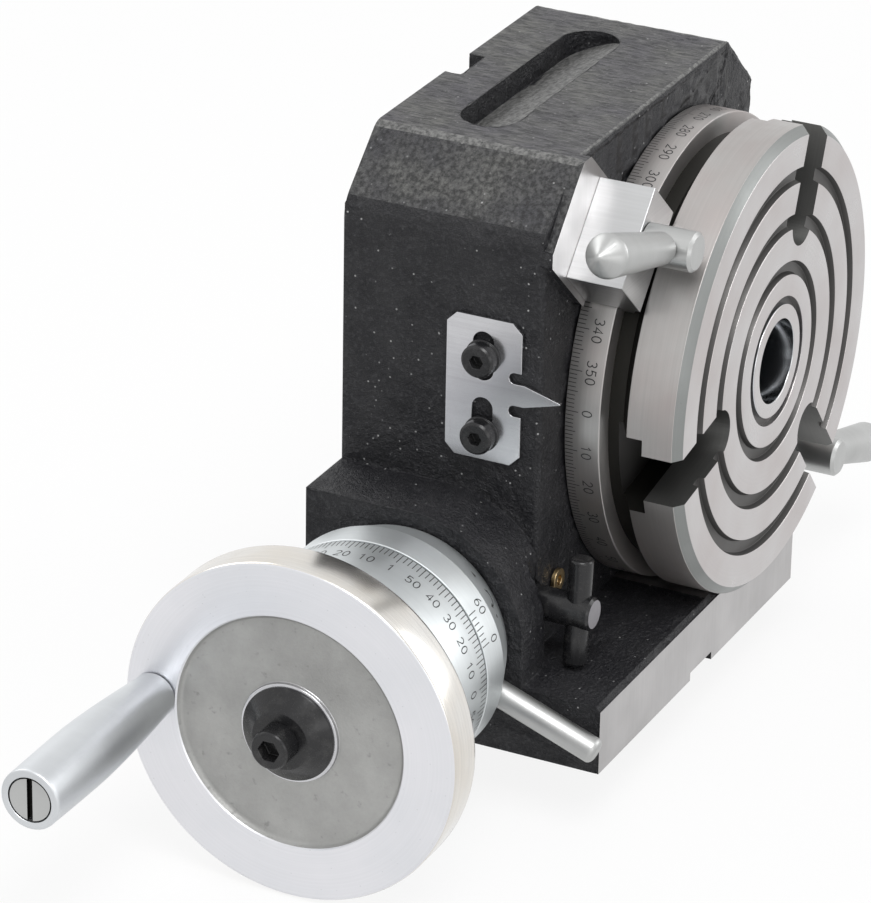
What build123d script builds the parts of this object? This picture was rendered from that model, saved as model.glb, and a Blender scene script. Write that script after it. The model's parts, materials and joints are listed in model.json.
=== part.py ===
"""Rotary table, 110 mm, worm driven, standing upright on its foot.

Millimetres, +Z up. The table turns about an axis along Y, its face looks along -Y.
The worm turns about an axis along X, its handwheel is at -X. The origin is on the
base plane, straight below the point where the table axis and the worm plane cross.
"""
import math
import os

from build123d import *

os.makedirs("parts", exist_ok=True)

# Clearances
fixed_gap = 0.02
running_gap = 0.05
free_gap = 0.3
ring_gap = 0.7

# Worm drive
module = 1.0
wheel_teeth = 72
worm_pitch_r = 6.5
addendum = 0.8
dedendum = 1.3
flank_slope = math.tan(math.radians(20))
thread_half = 0.5
tooth_half = 0.55
worm_thread_length = 30.0
wheel_width = 14.0
lead = math.pi * module
wheel_pitch_r = module * wheel_teeth / 2

# Main axes
table_z = 68.0
worm_z = table_z - wheel_pitch_r - worm_pitch_r
sleeve_offset = 3.5
sleeve_y = -sleeve_offset

# Casting
body_left = -67.0
body_right = 47.7
body_top = 130.6
body_front = -23.2
body_back = 26.0
corner_cut_x = 15.4
corner_cut_z = 14.2
body_edge = 1.5
foot_left = -84.4
foot_right = 25.5
foot_height = 16.7
foot_front = -47.7
foot_edge = 1.2
base_key_x = -28.0
base_key_width = 12.0
base_key_depth = 2.0
back_key_x = -11.0
back_key_width = 12.5
back_key_depth = 3.9
pocket_x = -10.2
pocket_y = 5.1
pocket_length = 66.0
pocket_width = 14.0
pocket_depth = 6.0
boss_r = 28.5
boss_step_x = -73.0
web_back = -11.0

# Faceplate and spindle
plate_r = 55.0
plate_front = -51.7
plate_chamfer = 2.0
plate_land_back = -38.7
flank_back = -35.7
hub_step = 5.0
hub_r = plate_r - hub_step
ring_front = -32.0
ring_back = body_front - free_gap
ring_step = 0.2
ring_r = plate_r - ring_step
ring_wall = 10.8
ring_seat_r = ring_r - ring_wall
ring_screw_place_r = (ring_seat_r + hub_r) / 2
ring_chamfer = 0.4
face_groove_depth = 1.5
groove_shares = [(0.369, 0.429), (0.567, 0.633), (0.764, 0.831)]
face_grooves = [(plate_r * inner, plate_r * outer) for inner, outer in groove_shares]
centre_groove_r = 15.3
sleeve_wall = 3.5
sleeve_socket_r = 13.5
register_r = sleeve_socket_r - sleeve_wall
register_length = 8.0
taper_large_r = register_r - 1.1
taper_small_r = register_r - 2.6
journal_r = 24.0
journal_step = 4.0
wheel_seat_r = journal_r - journal_step
nut_seat_r = wheel_seat_r - journal_step / 2
spindle_shoulder = -8.7
spindle_end = 17.0
slot_angle = 69.6
slot_angles = [slot_angle, slot_angle + 120, slot_angle + 240]
slot_narrow = 12.0
slot_wide = 19.6
slot_lip = 9.2
slot_depth = 17.0
slot_end_share = 0.6
slot_end_r = plate_r * slot_end_share

# Worm wheel, washer, nut and rear cover
wheel_hub_wall = 6.0
wheel_hub_r = journal_r + wheel_hub_wall
wheel_hub_back = 9.0
nut_back = 15.0
lock_nut_wall = 8.0
lock_nut_r = nut_seat_r + lock_nut_wall
lock_nut_slot = 3.0
key_width = 5.0
cavity_gap = 2.7
cavity_r = wheel_pitch_r + addendum + cavity_gap
cover_land = 6.0
cover_r = cavity_r + cover_land
cover_front = spindle_end + ring_gap
cover_thickness = 4.0
cover_hole_r = 12.0
cover_screw_place_r = cavity_r + cover_land / 2
bush_wall = 4.0

# Small screws
small_screw_r = 1.5
small_head_r = 2.7
small_head_depth = 2.0
small_socket_r = 1.2
small_screw_length = 6.0
ring_screw_length = 4.5
collar_screw_length = 4.5

# Index plate
index_front = -18.7
index_back = -0.2
index_low = 62.0
index_high = 96.5
index_thickness = 1.0
index_corner = 2.4
index_slot_y = -9.3
index_slot_width = 5.0
index_slot_length = 11.6
index_slot_z = [71.3, 87.2]
index_screw_z = [68.4, 87.1]
pointer_z = 79.4
pointer_half = 3.0
pointer_root = -19.2
pointer_tip = -28.2
notch_r = 1.3
notch_y = -17.0
notch_shift = 3.95
index_screw_r = 2.4
index_screw_length = 8.5
index_head_r = 3.9
index_flange_r = 4.2
index_flange_height = 0.6
index_head_height = 3.7
index_head_edge = 0.5
index_socket_r = 1.7
index_socket_depth = 2.2

# Clamps
clamp_angle = 42.5
clamp_angles = {"near": 180 - clamp_angle, "far": -clamp_angle}
clamp_inner_r = plate_r + 0.5
clamp_hub_r = plate_r + 9.4
clamp_hub_side = 1.2
clamp_outer_r = clamp_hub_r + 5.4
clamp_half = 12.15
clamp_front = plate_land_back + free_gap
clamp_back = -25.0
near_pad_r = clamp_outer_r + 10.8
far_lug_r = clamp_outer_r + 5.0
clamp_pad_half = clamp_half + 1.5
nose_r = hub_r + 0.4
nose_front = plate_land_back + 0.9
nose_bend = flank_back + 0.7
far_lug_back = -6.0
lever_plane = -43.8
lever_hub_r = 4.6
lever_hub_front = -50.5
lever_hub_chamfer = 0.7
near_lever_angle = 25.1
far_lever_angle = 24.0
lever_angles = {"near": near_lever_angle, "far": far_lever_angle}
lever_length = 40.5
lever_root_r = 3.75
lever_end_r = 5.0
lever_cone = 5.0
lever_tip_r = 1.1
lever_pin_r = 2.38
clamp_thread_r = 3.0
clamp_thread_end = -8.0

# Locking screw of the worm sleeve
lock_x = -68.0
lock_z = 30.2
lock_front = -38.2
lock_r = 3.9
lock_back = -21.3
lock_pad_back = -18.8
lock_bar_r = 2.83
lock_bar_length = 25.4
lock_bar_y = -34.2
lock_bar_tilt = 5.0
oiler_x = -56.5
oiler_z = 30.3
oiler_r = 2.8
oiler_lip = 0.8
oiler_ball_r = 1.2
oiler_length = 4.5

# Worm sleeve, collar and lever
sleeve_r = 15.0
sleeve_end = 36.0
sleeve_bore_r = 9.0
sleeve_window = 27.0
flange_r = 21.0
flange_right = foot_left - 0.4
flange_width = 13.2
flange_left = flange_right - flange_width
nut_pocket_r = 12.0
nut_pocket_right = flange_right - 2.2
collar_r = 28.4
collar_drop = 3.6
collar_small_r = collar_r - collar_drop
collar_cone_width = 9.2
collar_cone_left = flange_right - collar_cone_width
collar_left = flange_left - 4.0
collar_bore_r = 14.0
engage_x = flange_right - 3.2
engage_r = 3.05
engage_angle = 20.3
engage_tip_r = 52.0
engage_round = 1.4
collar_screw_x = engage_x - 4.0
collar_screw_angles = [60, 180, 300]
shaft_r = 6.0
front_bush_right = -64.0
rear_bush_left = 20.0
thrust_collar_r = 8.7
thrust_collar_right = front_bush_right + 4.0
shaft_right = sleeve_end - 2.0
washer_left = nut_pocket_right - 2.0
adjust_nut_left = washer_left - 5.0
adjust_nut_r = nut_pocket_r - 1.0

# Dial and handwheel
dial_right = collar_left - 0.5
dial_width = 15.5
dial_left = dial_right - dial_width
dial_r = collar_r
dial_edge = 0.3
dial_screw_r = 2.0
dial_screw_x = dial_left + 4.0
dial_socket_r = 1.1
dial_socket_depth = 3.5
rim_reach = 23.8
rim_left = dial_left - rim_reach
rim_width = 10.5
rim_right = rim_left + rim_width
rim_r = 40.0
rim_wall = 12.5
rim_inner_r = rim_r - rim_wall
rim_round = 1.2
rim_facet = 0.35
web_sink = 1.3
web_wall = 5.4
web_left = rim_left + web_sink
web_right = web_left + web_wall
handwheel_hub_r = 13.0
wheel_boss_r = handwheel_hub_r - 1.3
wheel_hub_left = rim_left + 0.3
wheel_hub_right = dial_right - 0.5
shaft_left = wheel_hub_left + 0.5
hub_washer_left = wheel_hub_left - 4.0
hub_washer_r = handwheel_hub_r - 2.0
hub_washer_small_r = hub_washer_r - 4.2
cap_head_height = 5.4
cap_head_left = hub_washer_left - cap_head_height
cap_head_r = 4.45
cap_thread_r = 3.0
cap_thread_end = shaft_left + 17.0
cap_edge = 0.4
cap_socket_r = 2.6
cap_socket_depth = 3.0
shaft_key_width = 3.0

# Handle
handle_y = rim_r - 7.3
handle_z = worm_z + 1.6
handle_right = rim_left - free_gap
handle_length = 53.4
handle_left = handle_right - handle_length
handle_neck_r = 5.2
handle_belly_r = 7.2
handle_end_r = 7.0
handle_belly_place = 24.0
handle_belly_x = handle_left + handle_belly_place
handle_dome = 4.0
pivot_r = 3.0
pivot_right = rim_left + 7.8
pivot_head_r = 4.9
pivot_head_depth = 3.0
pivot_slot_width = 1.3
pivot_slot_depth = 1.4
handle_shoulder = 16.0
handle_shoulder_rise = 1.2
handle_collar = 2.0


def face_plane(y):
    """Plane that looks along -Y, with X to the right and Z up."""
    return Plane(origin=(0, y, 0), x_dir=(1, 0, 0), z_dir=(0, -1, 0))


def side_plane(x):
    """Plane that looks along +X, with Y and Z as its own axes."""
    return Plane(origin=(x, 0, 0), x_dir=(0, 1, 0), z_dir=(1, 0, 0))


def bar_y(radius, front, back, x=0.0, z=table_z, mode=Mode.ADD):
    """Round bar along Y between two depths."""
    with BuildSketch(face_plane(front)) as outline:
        with Locations((x, z)):
            Circle(radius)
    extrude(outline.sketch, amount=front - back, mode=mode)


def bar_x(radius, left, right, y=0.0, z=worm_z, mode=Mode.ADD):
    """Round bar along X between two places."""
    with BuildSketch(side_plane(left)) as outline:
        with Locations((y, z)):
            Circle(radius)
    extrude(outline.sketch, amount=right - left, mode=mode)


def turned_y(points, mode=Mode.ADD):
    """Shape turned about the table axis from (depth, radius) points."""
    plane = Plane(origin=(0, 0, table_z), x_dir=(0, 1, 0), z_dir=(1, 0, 0))
    with BuildSketch(plane) as profile:
        with BuildLine():
            Polyline(*points, close=True)
        make_face()
    revolve(profile.sketch, axis=Axis((0, 0, table_z), (0, 1, 0)), mode=mode)


def turned_x(points, y=0.0, z=worm_z, mode=Mode.ADD):
    """Shape turned about an axis along X from (place, radius) points."""
    plane = Plane(origin=(0, y, z), x_dir=(1, 0, 0), z_dir=(0, -1, 0))
    with BuildSketch(plane) as profile:
        with BuildLine():
            Polyline(*points, close=True)
        make_face()
    revolve(profile.sketch, axis=Axis((0, y, z), (1, 0, 0)), mode=mode)


def polar(radius, degrees):
    """Place in the XZ plane at a radius and angle about the table axis."""
    angle = math.radians(degrees)
    return (radius * math.cos(angle), table_z + radius * math.sin(angle))


def radial_plane(degrees, y):
    """Plane that looks along -Y, centred on the table axis, its X along a radius."""
    angle = math.radians(degrees)
    direction = (math.cos(angle), 0, math.sin(angle))
    return Plane(origin=(0, y, table_z), x_dir=direction, z_dir=(0, -1, 0))


def hub_place(side):
    """Place of a clamp screw, on the XZ plane."""
    angle = math.radians(clamp_angles[side])
    x = clamp_hub_r * math.cos(angle) + clamp_hub_side * math.sin(angle)
    z = clamp_hub_r * math.sin(angle) - clamp_hub_side * math.cos(angle)
    return (x, table_z + z)


def radial_block(degrees, inner, outer, half, front, back, mode=Mode.ADD):
    """Block that lies along a radius of the table."""
    with BuildSketch(radial_plane(degrees, front)) as outline:
        with Locations(((inner + outer) / 2, 0)):
            Rectangle(outer - inner, 2 * half)
    extrude(outline.sketch, amount=front - back, mode=mode)


def socket_y(radius, front, depth, x, z):
    """Hexagon socket sunk along +Y."""
    with BuildSketch(face_plane(front)) as hexagon:
        with Locations((x, z)):
            RegularPolygon(radius, 6)
    extrude(hexagon.sketch, amount=-depth, mode=Mode.SUBTRACT)


def socket_x(radius, left, depth, y, z):
    """Hexagon socket sunk along +X."""
    with BuildSketch(side_plane(left)) as hexagon:
        with Locations((y, z)):
            RegularPolygon(radius, 6)
    extrude(hexagon.sketch, amount=depth, mode=Mode.SUBTRACT)


# Finger pocket in the top, as a tool: its floor climbs to the front edge
with BuildPart() as pocket_tool:
    with BuildSketch(Plane.XY.offset(body_top - pocket_depth)):
        with Locations((pocket_x, pocket_y)):
            SlotOverall(pocket_length, pocket_width)
    extrude(amount=pocket_depth + 1)
    with BuildSketch(side_plane(pocket_x - pocket_length / 2 - 1)):
        with BuildLine():
            Polyline(
                (pocket_y - pocket_width / 2 - 1, body_top),
                (pocket_y + pocket_width / 2, body_top - pocket_depth),
                (pocket_y - pocket_width / 2 - 1, body_top - pocket_depth - 1),
                close=True,
            )
        make_face()
    extrude(amount=pocket_length + 2, mode=Mode.SUBTRACT)

# Outline of the body, seen from the front
body_outline = [
    (body_left, 0),
    (body_left, body_top - corner_cut_z),
    (body_left + corner_cut_x, body_top),
    (body_right - corner_cut_x, body_top),
    (body_right, body_top - corner_cut_z),
    (body_right, 0),
]

# Casting: body, foot, worm boss and clamp seats
with BuildPart() as base_casting:
    with BuildSketch(face_plane(body_front)):
        with BuildLine():
            Polyline(*body_outline, close=True)
        make_face()
    extrude(amount=body_front - body_back)
    outer_edges = base_casting.edges().filter_by(Axis.Y).filter_by(
        lambda edge: edge.center().Z > foot_height
    )
    fillet(outer_edges, body_edge)
    front_edges = base_casting.faces().sort_by(Axis.Y)[0].edges().filter_by(
        lambda edge: edge.center().Z > foot_height
    )
    fillet(front_edges, body_edge)
    with BuildSketch(Plane.XY):
        with Locations(((foot_left + foot_right) / 2, (foot_front + body_back) / 2)):
            Rectangle(foot_right - foot_left, body_back - foot_front)
    extrude(amount=foot_height)
    foot_top_front = base_casting.edges().filter_by(
        lambda edge: abs(edge.center().Y - foot_front) < 0.01
        and abs(edge.center().Z - foot_height) < 0.01
    )
    chamfer(foot_top_front, foot_edge)
    bar_y(plate_r + ring_gap, foot_front - 1, body_front, mode=Mode.SUBTRACT)
    with BuildSketch(side_plane(foot_left)):
        with Locations((0, worm_z)):
            Circle(boss_r)
        with Locations(((body_back - boss_r) / 2, worm_z / 2)):
            Rectangle(body_back + boss_r, worm_z)
        with Locations((body_back / 2, (worm_z + boss_r) / 2)):
            Rectangle(body_back, worm_z + boss_r)
        with Locations((0, -boss_r)):
            Rectangle(4 * boss_r, 2 * boss_r, mode=Mode.SUBTRACT)
        with Locations((body_back + boss_r, worm_z)):
            Rectangle(2 * boss_r, 4 * boss_r, mode=Mode.SUBTRACT)
    extrude(amount=boss_step_x - foot_left)
    with BuildSketch(side_plane(boss_step_x)):
        with Locations((0, worm_z)):
            Circle(boss_r)
        with Locations((body_back / 2, (worm_z + boss_r) / 2)):
            Rectangle(body_back, worm_z + boss_r)
        with Locations(((body_back + body_front) / 2, worm_z / 2)):
            Rectangle(body_back - body_front, worm_z)
        with Locations((body_front - boss_r, worm_z)):
            Rectangle(2 * boss_r, 4 * boss_r, mode=Mode.SUBTRACT)
        with Locations((body_back + boss_r, worm_z)):
            Rectangle(2 * boss_r, 4 * boss_r, mode=Mode.SUBTRACT)
        with Locations((0, -boss_r)):
            Rectangle(4 * boss_r, 2 * boss_r, mode=Mode.SUBTRACT)
    extrude(amount=body_left - boss_step_x)
    with BuildSketch(face_plane(clamp_back)) as near_pad:
        with Locations(polar((clamp_inner_r + near_pad_r) / 2, clamp_angles["near"])):
            Rectangle(
                near_pad_r - clamp_inner_r, 2 * clamp_pad_half, rotation=clamp_angles["near"]
            )
        with BuildLine():
            Polyline(*body_outline, close=True)
        make_face(mode=Mode.INTERSECT)
    extrude(near_pad.sketch, amount=clamp_back)
    radial_block(
        clamp_angles["far"], clamp_inner_r, far_lug_r, clamp_half, clamp_back, far_lug_back
    )
    bar_y(cavity_r, web_back, body_back + 1, mode=Mode.SUBTRACT)
    bar_y(cover_r + fixed_gap, cover_front, body_back + 1, mode=Mode.SUBTRACT)
    bar_y(journal_r + bush_wall, clamp_back - 1, web_back + 1, mode=Mode.SUBTRACT)
    bar_x(
        sleeve_r + running_gap, foot_left - 1, sleeve_end + 1, y=sleeve_y, mode=Mode.SUBTRACT
    )
    with BuildSketch(Plane.XY):
        with Locations((base_key_x, (foot_front + body_back) / 2)):
            Rectangle(base_key_width, 2 * (body_back - foot_front))
    extrude(amount=base_key_depth, mode=Mode.SUBTRACT)
    with BuildSketch(Plane.XY.offset(-1)):
        with Locations((back_key_x, body_back)):
            Rectangle(back_key_width, 2 * back_key_depth)
    extrude(amount=body_top + 2, mode=Mode.SUBTRACT)
    add(pocket_tool.part, mode=Mode.SUBTRACT)
    bar_y(lock_r + running_gap, -boss_r - 1, sleeve_y - sleeve_bore_r, lock_x, lock_z, Mode.SUBTRACT)
    bar_y(
        oiler_r - oiler_lip + fixed_gap, -boss_r - 1, body_front + oiler_length + 0.5,
        oiler_x, oiler_z, Mode.SUBTRACT,
    )
    for side in clamp_angles:
        hub_x, hub_z = hub_place(side)
        bar_y(
            clamp_thread_r + running_gap,
            clamp_back - 1,
            clamp_thread_end + 1,
            hub_x,
            hub_z,
            Mode.SUBTRACT,
        )
    for screw_z in index_screw_z:
        bar_x(
            index_screw_r + fixed_gap, body_left - 1, body_left + index_screw_length + 0.5,
            index_slot_y, screw_z, Mode.SUBTRACT,
        )
    for quarter in range(4):
        screw_x, screw_z = polar(cover_screw_place_r, 45 + 90 * quarter)
        bar_y(
            small_screw_r + fixed_gap, cover_front - small_screw_length - 1, cover_front + 1,
            screw_x, screw_z, Mode.SUBTRACT,
        )
base_casting.part.label = "base_casting"
export_step(base_casting.part, "parts/base_casting.step")

# Bronze bush that the spindle turns in
with BuildPart() as spindle_bush:
    bar_y(journal_r + bush_wall - fixed_gap, body_front + 0.2, web_back - 0.2)
    bar_y(journal_r + running_gap, body_front - 1, web_back + 1, mode=Mode.SUBTRACT)
spindle_bush.part.label = "spindle_bush"
export_step(spindle_bush.part, "parts/spindle_bush.step")

# Faceplate with its spindle in one piece
plate_profile = [(plate_front + face_groove_depth, sleeve_socket_r + fixed_gap)]
plate_profile.append((plate_front + face_groove_depth, centre_groove_r))
plate_profile.append((plate_front, centre_groove_r))
for inner, outer in face_grooves:
    plate_profile.append((plate_front, inner))
    plate_profile.append((plate_front + face_groove_depth, inner))
    plate_profile.append((plate_front + face_groove_depth, outer))
    plate_profile.append((plate_front, outer))
plate_profile.append((plate_front, plate_r - plate_chamfer))
plate_profile.append((plate_front + plate_chamfer, plate_r))
plate_profile.append((plate_land_back, plate_r))
plate_profile.append((flank_back, hub_r))
plate_profile.append((ring_front, hub_r))
plate_profile.append((ring_front, ring_seat_r))
plate_profile.append((ring_back, ring_seat_r))
plate_profile.append((ring_back, journal_r))
plate_profile.append((spindle_shoulder, journal_r))
plate_profile.append((spindle_shoulder, wheel_seat_r))
plate_profile.append((wheel_hub_back, wheel_seat_r))
plate_profile.append((wheel_hub_back, nut_seat_r))
plate_profile.append((spindle_end, nut_seat_r))
plate_profile.append((spindle_end, sleeve_socket_r + fixed_gap))

with BuildPart() as faceplate:
    turned_y(plate_profile)
    for angle in slot_angles:
        for width, start, stop in (
            (slot_narrow, plate_front - 1, plate_front + slot_lip),
            (slot_wide, plate_front + slot_lip, plate_front + slot_depth),
        ):
            with BuildSketch(radial_plane(angle, start)):
                with Locations((slot_end_r, 0)):
                    Circle(width / 2)
                with Locations((slot_end_r + plate_r / 2, 0)):
                    Rectangle(plate_r, width)
            extrude(amount=start - stop, mode=Mode.SUBTRACT)
    for angle in slot_angles:
        screw_x, screw_z = polar(ring_screw_place_r, angle - 60)
        bar_y(
            small_screw_r + fixed_gap, ring_front - ring_screw_length - 0.5, ring_front + 1,
            screw_x, screw_z, Mode.SUBTRACT,
        )
    with BuildSketch(face_plane(spindle_shoulder)):
        with Locations((0, table_z + wheel_seat_r)):
            Rectangle(key_width + 2 * fixed_gap, key_width)
    extrude(amount=spindle_shoulder - wheel_hub_back, mode=Mode.SUBTRACT)
faceplate.part.label = "faceplate"
export_step(faceplate.part, "parts/faceplate.step")

# Graduated ring behind the faceplate
with BuildPart() as graduated_ring:
    turned_y([
        (ring_front, ring_seat_r + fixed_gap),
        (ring_front, ring_r - ring_chamfer),
        (ring_front + ring_chamfer, ring_r),
        (ring_back, ring_r),
        (ring_back, ring_seat_r + fixed_gap),
    ])
    for angle in slot_angles:
        screw_x, screw_z = polar(ring_screw_place_r, angle - 60)
        bar_y(
            small_screw_r + fixed_gap, ring_front - 1, ring_back + 1,
            screw_x, screw_z, Mode.SUBTRACT,
        )
        bar_y(
            small_head_r + fixed_gap, ring_back - small_head_depth, ring_back + 1,
            screw_x, screw_z, Mode.SUBTRACT,
        )
graduated_ring.part.label = "graduated_ring"
export_step(graduated_ring.part, "parts/graduated_ring.step")

# Three screws that hold the ring
with BuildPart() as ring_screws:
    for angle in slot_angles:
        screw_x, screw_z = polar(ring_screw_place_r, angle - 60)
        head_start = ring_back - small_head_depth + fixed_gap
        bar_y(small_screw_r, ring_front - ring_screw_length, head_start + 1, screw_x, screw_z)
        bar_y(small_head_r, head_start, ring_back - 0.2, screw_x, screw_z)
ring_screws.part.label = "ring_screws"
export_step(ring_screws.part, "parts/ring_screws.step")

# Socket sleeve in the middle of the table: a short register, then a slow taper
with BuildPart() as centre_sleeve:
    turned_y([
        (plate_front, register_r),
        (plate_front, sleeve_socket_r),
        (spindle_end, sleeve_socket_r),
        (spindle_end, taper_small_r),
        (plate_front + register_length, taper_large_r),
        (plate_front + register_length, register_r),
    ])
centre_sleeve.part.label = "centre_sleeve"
export_step(centre_sleeve.part, "parts/centre_sleeve.step")

# Worm shaft with its thread, two journals and a thrust collar
with BuildPart() as worm_shaft:
    worm_root_r = worm_pitch_r - dedendum
    turned_x([
        (shaft_left, 0),
        (shaft_left, shaft_r),
        (front_bush_right + free_gap, shaft_r),
        (front_bush_right + free_gap, thrust_collar_r),
        (thrust_collar_right, thrust_collar_r),
        (thrust_collar_right, shaft_r),
        (-worm_thread_length / 2 - lead, shaft_r),
        (-worm_thread_length / 2 - lead, worm_root_r),
        (worm_thread_length / 2 + lead, worm_root_r),
        (worm_thread_length / 2 + lead, shaft_r),
        (shaft_right, shaft_r),
        (shaft_right, 0),
    ])
    with BuildLine() as thread_path:
        Helix(
            pitch=lead,
            height=worm_thread_length,
            radius=worm_pitch_r,
            center=(-worm_thread_length / 2, 0, worm_z),
            direction=(1, 0, 0),
        )
    path_start = thread_path.line @ 0
    outward = (path_start - Vector(-worm_thread_length / 2, 0, worm_z)).normalized()
    with BuildSketch(Plane(origin=path_start, x_dir=outward, z_dir=thread_path.line % 0)):
        with BuildLine():
            Polyline(
                (-dedendum - 0.2, -thread_half - dedendum * flank_slope),
                (-dedendum - 0.2, thread_half + dedendum * flank_slope),
                (addendum, thread_half - addendum * flank_slope),
                (addendum, -thread_half + addendum * flank_slope),
                close=True,
            )
        make_face()
    sweep(path=thread_path.line, is_frenet=True)
    bar_x(cap_thread_r + fixed_gap, shaft_left - 1, cap_thread_end + 2, mode=Mode.SUBTRACT)
    with BuildSketch(Plane.XY.offset(worm_z + shaft_r - shaft_key_width / 2)):
        with Locations(((shaft_left + rim_right) / 2, 0)):
            Rectangle(rim_right - shaft_left + fixed_gap, shaft_key_width)
    extrude(amount=shaft_key_width, mode=Mode.SUBTRACT)
worm_shaft.part.label = "worm_shaft"
export_step(worm_shaft.part, "parts/worm_shaft.step")

# Where the thread crest crosses the plane above the worm axis
start_angle = math.degrees(math.atan2(outward.Z, outward.Y))
crest_x = -worm_thread_length / 2 + lead * (90 - start_angle) / 360
crest_x = crest_x - lead * round(crest_x / lead)
mesh_angle = -90 + math.degrees(crest_x / wheel_pitch_r)

# Worm wheel, with a tooth space over the thread crest
with BuildPart() as worm_wheel:
    tip_r = wheel_pitch_r + addendum
    root_r = wheel_pitch_r - dedendum
    tip_half = math.degrees((tooth_half - addendum * flank_slope) / tip_r)
    root_half = math.degrees((tooth_half + dedendum * flank_slope) / root_r)
    tooth_pitch = 360 / wheel_teeth
    outline_points = []
    for tooth in range(wheel_teeth):
        centre = mesh_angle + (tooth + 0.5) * tooth_pitch
        outline_points.append(polar(root_r, centre - root_half))
        outline_points.append(polar(tip_r, centre - tip_half))
        outline_points.append(polar(tip_r, centre + tip_half))
        outline_points.append(polar(root_r, centre + root_half))
    with BuildSketch(face_plane(-wheel_width / 2)):
        with BuildLine():
            Polyline(*outline_points, close=True)
        make_face()
    extrude(amount=-wheel_width)
    bar_y(wheel_hub_r, spindle_shoulder, wheel_hub_back)
    bar_y(wheel_seat_r + fixed_gap, spindle_shoulder - 1, wheel_hub_back + 1, mode=Mode.SUBTRACT)
    with BuildSketch(face_plane(spindle_shoulder - 1)):
        with Locations((0, table_z + wheel_seat_r)):
            Rectangle(key_width + 2 * fixed_gap, key_width)
    extrude(amount=spindle_shoulder - wheel_hub_back - 2, mode=Mode.SUBTRACT)
worm_wheel.part.label = "worm_wheel"
export_step(worm_wheel.part, "parts/worm_wheel.step")

# Key between wheel and spindle
with BuildPart() as wheel_key:
    with BuildSketch(face_plane(spindle_shoulder + 0.5)):
        with Locations((0, table_z + wheel_seat_r)):
            Rectangle(key_width, key_width - 2 * fixed_gap)
    extrude(amount=spindle_shoulder + 1 - wheel_hub_back)
wheel_key.part.label = "wheel_key"
export_step(wheel_key.part, "parts/wheel_key.step")

# Thrust washer between wheel and casting
with BuildPart() as thrust_washer:
    bar_y(wheel_hub_r, web_back + free_gap, spindle_shoulder)
    bar_y(journal_r + fixed_gap, web_back - 1, spindle_shoulder + 1, mode=Mode.SUBTRACT)
thrust_washer.part.label = "thrust_washer"
export_step(thrust_washer.part, "parts/thrust_washer.step")

# Slotted ring nut that sets the play of the table
with BuildPart() as lock_nut:
    bar_y(lock_nut_r, wheel_hub_back, nut_back)
    bar_y(nut_seat_r + fixed_gap, wheel_hub_back - 1, nut_back + 1, mode=Mode.SUBTRACT)
    for quarter in range(4):
        radial_block(
            90 * quarter, lock_nut_r - lock_nut_slot, lock_nut_r + 1, key_width / 2,
            (wheel_hub_back + nut_back) / 2, nut_back + 1, Mode.SUBTRACT,
        )
lock_nut.part.label = "lock_nut"
export_step(lock_nut.part, "parts/lock_nut.step")

# Rear cover and its four screws
with BuildPart() as rear_cover:
    bar_y(cover_r, cover_front, cover_front + cover_thickness)
    bar_y(cover_hole_r, cover_front - 1, body_back, mode=Mode.SUBTRACT)
    for quarter in range(4):
        screw_x, screw_z = polar(cover_screw_place_r, 45 + 90 * quarter)
        bar_y(
            small_screw_r + fixed_gap, cover_front - 1, body_back,
            screw_x, screw_z, Mode.SUBTRACT,
        )
        bar_y(
            small_head_r + fixed_gap, cover_front + cover_thickness - small_head_depth,
            body_back, screw_x, screw_z, Mode.SUBTRACT,
        )
rear_cover.part.label = "rear_cover"
export_step(rear_cover.part, "parts/rear_cover.step")

with BuildPart() as cover_screws:
    head_front = cover_front + cover_thickness - small_head_depth + fixed_gap
    for quarter in range(4):
        screw_x, screw_z = polar(cover_screw_place_r, 45 + 90 * quarter)
        bar_y(
            small_screw_r, cover_front - small_screw_length, head_front, screw_x, screw_z
        )
        bar_y(small_head_r, head_front, head_front + small_head_depth, screw_x, screw_z)
        with BuildSketch(face_plane(head_front + small_head_depth / 2)):
            with Locations((screw_x, screw_z)):
                RegularPolygon(small_socket_r, 6)
        extrude(amount=-small_head_depth, mode=Mode.SUBTRACT)
cover_screws.part.label = "cover_screws"
export_step(cover_screws.part, "parts/cover_screws.step")

# Index plate with its pointer, and the two screws in its slots
with BuildPart() as index_plate:
    with BuildSketch(side_plane(body_left - index_thickness)):
        with Locations(((index_front + index_back) / 2, (index_low + index_high) / 2)):
            Rectangle(index_back - index_front, index_high - index_low)
    extrude(amount=index_thickness)
    chamfer(index_plate.edges().filter_by(Axis.X), index_corner)
    with BuildSketch(side_plane(body_left - index_thickness)) as pointer:
        with BuildLine():
            Polyline(
                (pointer_root + 1, pointer_z + pointer_half),
                (pointer_tip, pointer_z + 0.2),
                (pointer_tip, pointer_z - 0.2),
                (pointer_root + 1, pointer_z - pointer_half),
                close=True,
            )
        make_face()
    extrude(pointer.sketch, amount=index_thickness)
    with BuildSketch(side_plane(body_left - index_thickness)) as openings:
        for shift in (-notch_shift, notch_shift):
            with Locations((notch_y, pointer_z + shift)):
                Circle(notch_r)
            with Locations(((notch_y + index_front - 1) / 2, pointer_z + shift)):
                Rectangle(notch_y - index_front + 1, 2 * notch_r)
        for slot_z in index_slot_z:
            with Locations((index_slot_y, slot_z)):
                SlotOverall(index_slot_length, index_slot_width, rotation=90)
    extrude(openings.sketch, amount=index_thickness, mode=Mode.SUBTRACT)
index_plate.part.label = "index_plate"
export_step(index_plate.part, "parts/index_plate.step")

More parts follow.
